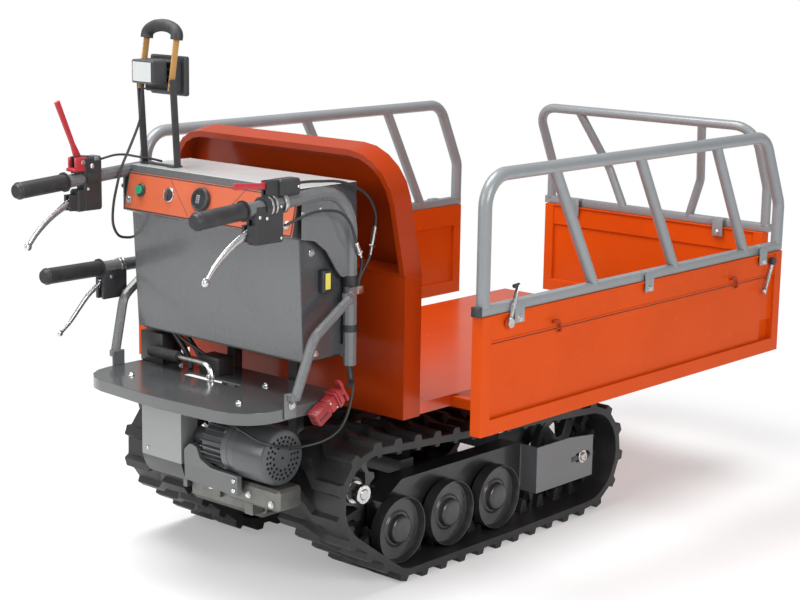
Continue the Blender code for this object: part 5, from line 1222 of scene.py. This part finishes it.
SQUEEZE_SPINE = [(-0.384, 0.764), (-0.406, 0.7555), (-0.438, 0.737), (-0.47, 0.711), (-0.492, 0.686)]
TIP_SPINE = [(-0.27, 0.579), (-0.304, 0.557), (-0.332, 0.529), (-0.354, 0.506), (-0.381, 0.485)]
for side, sign in SIDES.items():
    lever = cast_lever("brake_lever_" + side, SQUEEZE_SPINE, sign * BAR_Y, (0.0098, 0.0056), 0.48, 0.0088,
                       polished)
    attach(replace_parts(lever, "squeeze_lever_" + side), body_of("squeeze_lever_" + side))
lever = cast_lever("tip_release_lever", TIP_SPINE, TIP_Y, (0.007, 0.0045), 0.6, 0.0068, polished)
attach(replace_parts(lever, "tipping_lever"), body_of("tipping_lever"))
print("cast levers made")


# %% Throttle levers
WAIST = 0.3


def throttle_lever(name, x, z, y, length, angle):
    """A bar modelled lying along -X, narrowest at its waist, and then turned up about its pivot."""
    turn = Matrix.Translation(at(x, y, z)) @ Matrix.Rotation(angle, 4, "Y")
    bar = cube((-length / 2, 0, 0), (length, 0.0058, 0.016))
    with editing():
        bpy.ops.mesh.bisect(plane_co=(-length * WAIST, 0, 0), plane_no=(1, 0, 0))
    for vertex in bar.data.vertices:
        share = -vertex.co.x / length
        vertex.co.z *= 1.2 - 0.55 * min(1.0, share / WAIST) if share < 0.9 else 0.78
    with editing():
        bpy.ops.mesh.bevel(offset=0.0015, segments=3, affect="EDGES")
    bar = settled(bar, name, red_plastic, turn)
    boss = turned("boss", [(0.008, -0.0031), (0.0088, -0.0026), (0.0088, 0.0026), (0.008, 0.0031)], 28,
                  red_plastic, facing(at(x, y, z), (0, 1, 0)))
    return joined(name, [bar, boss])


for side, x, z, length, degrees in (("left", -0.3605, 0.8455, 0.136, 67), ("right", -0.33, 0.848, 0.092, 4)):
    lever = throttle_lever("throttle_lever_" + side, x, z, SIDES[side] * BAR_Y, length, math.radians(degrees))
    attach(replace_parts(lever, "thumb_lever_" + side), body_of("thumb_lever_" + side))
print("throttle levers made")

# %% [markdown]
# ## Cable adjusters
# Each sheathed cable on the right ends in a long plated adjuster with a lock nut, above a small plated
# holder on the console's flank.

# %% Adjusters
def adjuster(start, end, radius):
    start, end = at(*start), at(*end)
    length = (end - start).length
    place = facing(start, end - start)
    sleeve = turned("sleeve", [(radius * 0.7, 0.0), (radius, 0.0015), (radius, length * 0.62),
                               (radius * 0.72, length * 0.66), (radius * 0.72, length)], 20, zinc, place)
    nut = hex_nut("lock_nut", radius * 2.6, 0.0045, zinc, place @ Matrix.Translation((0, 0, length * 0.64)))
    return [sleeve, nut]


parts = adjuster((-0.041, -0.263, 0.741), (-0.054, -0.262, 0.684), 0.0044)
parts += adjuster((-0.12, -0.286, 0.72), (-0.099, -0.28, 0.688), 0.0044)
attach(joined("cable_adjusters", parts), "chassis")
holder = fitted_block("adjuster_holder", (-0.0955, -0.268, 0.611), (-0.077, -FLANK_Y, 0.627), zinc, 0.0015)
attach(holder, "chassis")
print("adjusters set")

# %% [markdown]
# ## Rope hooks
# Each side board has two bent rod hooks on its outer face for the load's rope. They take the darker
# orange, as painted shade.

# %% Rope hooks
for side, sign in SIDES.items():
    hooks = []
    for x in (0.233, 0.902):
        face = sign * (BOARD_OUT - 0.002)
        out = sign * (BOARD_OUT + 0.0052)
        route = [(x + 0.012, face, 0.5235), (x + 0.0118, out, 0.527), (x + 0.01, out, 0.538),
                 (x + 0.004, out, 0.5465), (x - 0.006, out, 0.549), (x - 0.016, out, 0.5475)]
        rod = tube_along("hook", smooth_route(route, 5), 0.003)
        # Painted shade: the hooks take the darker copy of the orange.
        rod.data.materials.append(orange_painted_shade)
        hooks.append(rod)
    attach(joined("rope_hooks_" + side, hooks), "side_extension_" + side)
print("hooks set")

# %% [markdown]
# ## Lamp
# The floodlight's glass faces forwards over a grid of small light chips. Its driver box has a pale plate on
# the rear. The carrying handle is a foam arch on two tan legs, which lean with the lamp.

# %% Lamp glass, chips and driver plate
LAMP_Y, CHIP_HALF = 0.189, 0.0024
tray = fitted_block("lamp_reflector", (-0.1756, LAMP_Y - 0.0448, 0.9862), (-0.1751, LAMP_Y + 0.0448, 1.0473),
                    pale_grey, 0.0002, 1)
chips = [tray]
for row in range(4):
    for column in range(6):
        y, z = LAMP_Y - 0.03 + 0.012 * column, 0.998 + 0.0125 * row
        chips.append(fitted_block("chip", (-0.1752, y - CHIP_HALF, z - CHIP_HALF),
                                  (-0.1742, y + CHIP_HALF, z + CHIP_HALF), yellow_tag, 0.0004, 1))
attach(joined("lamp_chips", chips), "lamp")
pane = fitted_block("lamp_pane", (-0.1734, LAMP_Y - 0.045, 0.986), (-0.1724, LAMP_Y + 0.045, 1.0475), glass,
                    0.0003, 1)
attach(pane, "lamp")
plate = fitted_block("driver_plate", (-0.2577, 0.1575, 1.0075), (-0.2569, 0.2135, 1.0465), gauge_white,
                     0.0003, 1)
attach(plate, "lamp")

# %% Handle with its foam arch and tan legs
AXIS_X, AXIS_Z, LEG_Y, ARCH_STEPS = -0.2155, 1.0009, 0.0458, 24
LAMP_AXIS = at(AXIS_X, LAMP_Y, AXIS_Z)
lean = math.atan2(0.0195, 1.1185 - AXIS_Z)
arch = []
for k in range(ARCH_STEPS + 1):
    turn = math.pi * k / ARCH_STEPS
    arch.append((AXIS_X + math.tan(lean) * (0.0975 + 0.0205 * math.sin(turn)),
                 LAMP_Y - LEG_Y * math.cos(turn), 1.0985 + 0.02 * math.sin(turn)))
arch = [(arch[0][0] - 0.0012, arch[0][1], 1.0915), *arch, (arch[-1][0] - 0.0012, arch[-1][1], 1.0915)]
sleeve = tube_along("foam_arch", [at(*p) for p in arch], 0.0128, 6)
sleeve.data.materials.append(foam)
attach(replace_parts(sleeve, "lamp_handle"), "lamp")
legs = []
knob = [(0.0072, 0.0016), (0.0076, 0.0022), (0.0072, 0.0036), (0.004, 0.0044)]
for sign in (-1, 1):
    pivot = LAMP_AXIS + Vector((0, sign * LEG_Y, 0))
    place = Matrix.Translation(pivot) @ Matrix.Rotation(lean, 4, "Y")
    legs.append(block("leg", (-0.0076, -0.0014, -0.013), (0.0076, 0.0014, 0.102), tan_paint, 0.0008,
                      matrix=place))
    legs.append(turned("pivot_screw", knob, 24, zinc, facing(pivot, (0, sign, 0))))
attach(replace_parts(joined("handle_legs", legs), "lamp_handle"), "lamp")
print("lamp dressed")

# %% [markdown]
# ## Floor and light
# The barrow stands on a white studio floor. Near it the floor shows the soft shadow; further out it fades
# into plain white, so that no horizon shows. The world is plain white to the camera only. Reflections see
# floor and world dimmed, so that glossy paint keeps its colour, and its soft light fills the shadows. Three
# broad soft lamps light the barrow at a plain level.

# %% Floor
FLOOR_SHARE, FLOOR_REFLECTED, FADE_FROM, FADE_TO = 0.3, 0.25, 0.8, 1.5


def white_floor():
    bpy.ops.object.select_all(action="DESELECT")
    bpy.ops.mesh.primitive_plane_add(size=60.0, location=(0, 0, 0))
    floor = bpy.context.active_object
    floor.name = "studio_floor"
    finish = Finish("studio_floor", (0.88, 0.88, 0.88), 0.8, Specular_IOR_Level=0.1)
    floor.data.materials.append(finish.material)
    radius = finish.node("ShaderNodeVectorMath", {"operation": "LENGTH"}, {"Vector": finish.place}, "Value")
    far = finish.node("ShaderNodeMapRange", {"interpolation_type": "SMOOTHSTEP"},
                      {"Value": radius, "From Min": FADE_FROM, "From Max": FADE_TO})
    seen, glossy, through = (finish.node("ShaderNodeLightPath", {}, {}, f"Is {kind} Ray")
                             for kind in ("Camera", "Glossy", "Transmission"))
    direct = seen.math("MAXIMUM", glossy * FLOOR_REFLECTED).math("MAXIMUM", through)
    white = finish.node("ShaderNodeEmission", {}, {"Color": (1, 1, 1, 1), "Strength": 1.0}, "Emission")
    mixed = finish.node("ShaderNodeMixShader", {}, {0: direct * far.spread(FLOOR_SHARE, 1.0)}, "Shader")
    finish.tree.links.new(finish.shader.outputs[0], mixed.socket.node.inputs[1])
    finish.tree.links.new(white.socket, mixed.socket.node.inputs[2])
    finish.tree.links.new(mixed.socket, finish.tree.nodes["Material Output"].inputs["Surface"])


white_floor()


# %% World
WORLD_SOFT, WORLD_REFLECTED = 0.27, 0.2


def studio_world():
    world = bpy.data.worlds.new("studio")
    bpy.context.scene.world = world
    world.use_nodes = True
    tree = world.node_tree
    tree.nodes.clear()
    path, most, dimmed, back, soft, mix, out = (tree.nodes.new("ShaderNode" + kind) for kind in (
        "LightPath", "Math", "Math", "Background", "Background", "MixShader", "OutputWorld"))
    most.operation = "MAXIMUM"
    dimmed.operation = "MULTIPLY"
    dimmed.inputs[1].default_value = WORLD_REFLECTED
    for light, strength in ((back, 1.0), (soft, WORLD_SOFT)):
        light.inputs["Color"].default_value = (1, 1, 1, 1)
        light.inputs["Strength"].default_value = strength
    for start, end in ((path.outputs["Is Glossy Ray"], dimmed.inputs[0]),
                       (path.outputs["Is Camera Ray"], most.inputs[0]), (dimmed.outputs[0], most.inputs[1]),
                       (most.outputs[0], mix.inputs[0]), (soft.outputs[0], mix.inputs[1]),
                       (back.outputs[0], mix.inputs[2]), (mix.outputs[0], out.inputs["Surface"])):
        tree.links.new(start, end)


studio_world()


# %% Lamps
def soft_lamp(name, place, target, size, power):
    data = bpy.data.lights.new(name, "AREA")
    data.shape = "RECTANGLE"
    data.size, data.size_y = size
    data.energy = power
    lamp = bpy.data.objects.new(name, data)
    bpy.context.scene.collection.objects.link(lamp)
    lamp.location = place
    lamp.rotation_mode = "QUATERNION"
    lamp.rotation_quaternion = (Vector(target) - Vector(place)).to_track_quat("-Z", "Y")
    return lamp


MIDDLE = (0.0, 0.0, 0.5)
soft_lamp("top_light", (-0.9, 0.7, 3.9), MIDDLE, (2.6, 2.6), 205)
soft_lamp("left_light", (-4.2, 1.2, 2.0), MIDDLE, (2.2, 2.2), 62)
soft_lamp("right_light", (-1.5, -4.1, 2.2), MIDDLE, (2.0, 2.0), 125)
bpy.context.scene.view_settings.view_transform = "Standard"
print("lamps set")
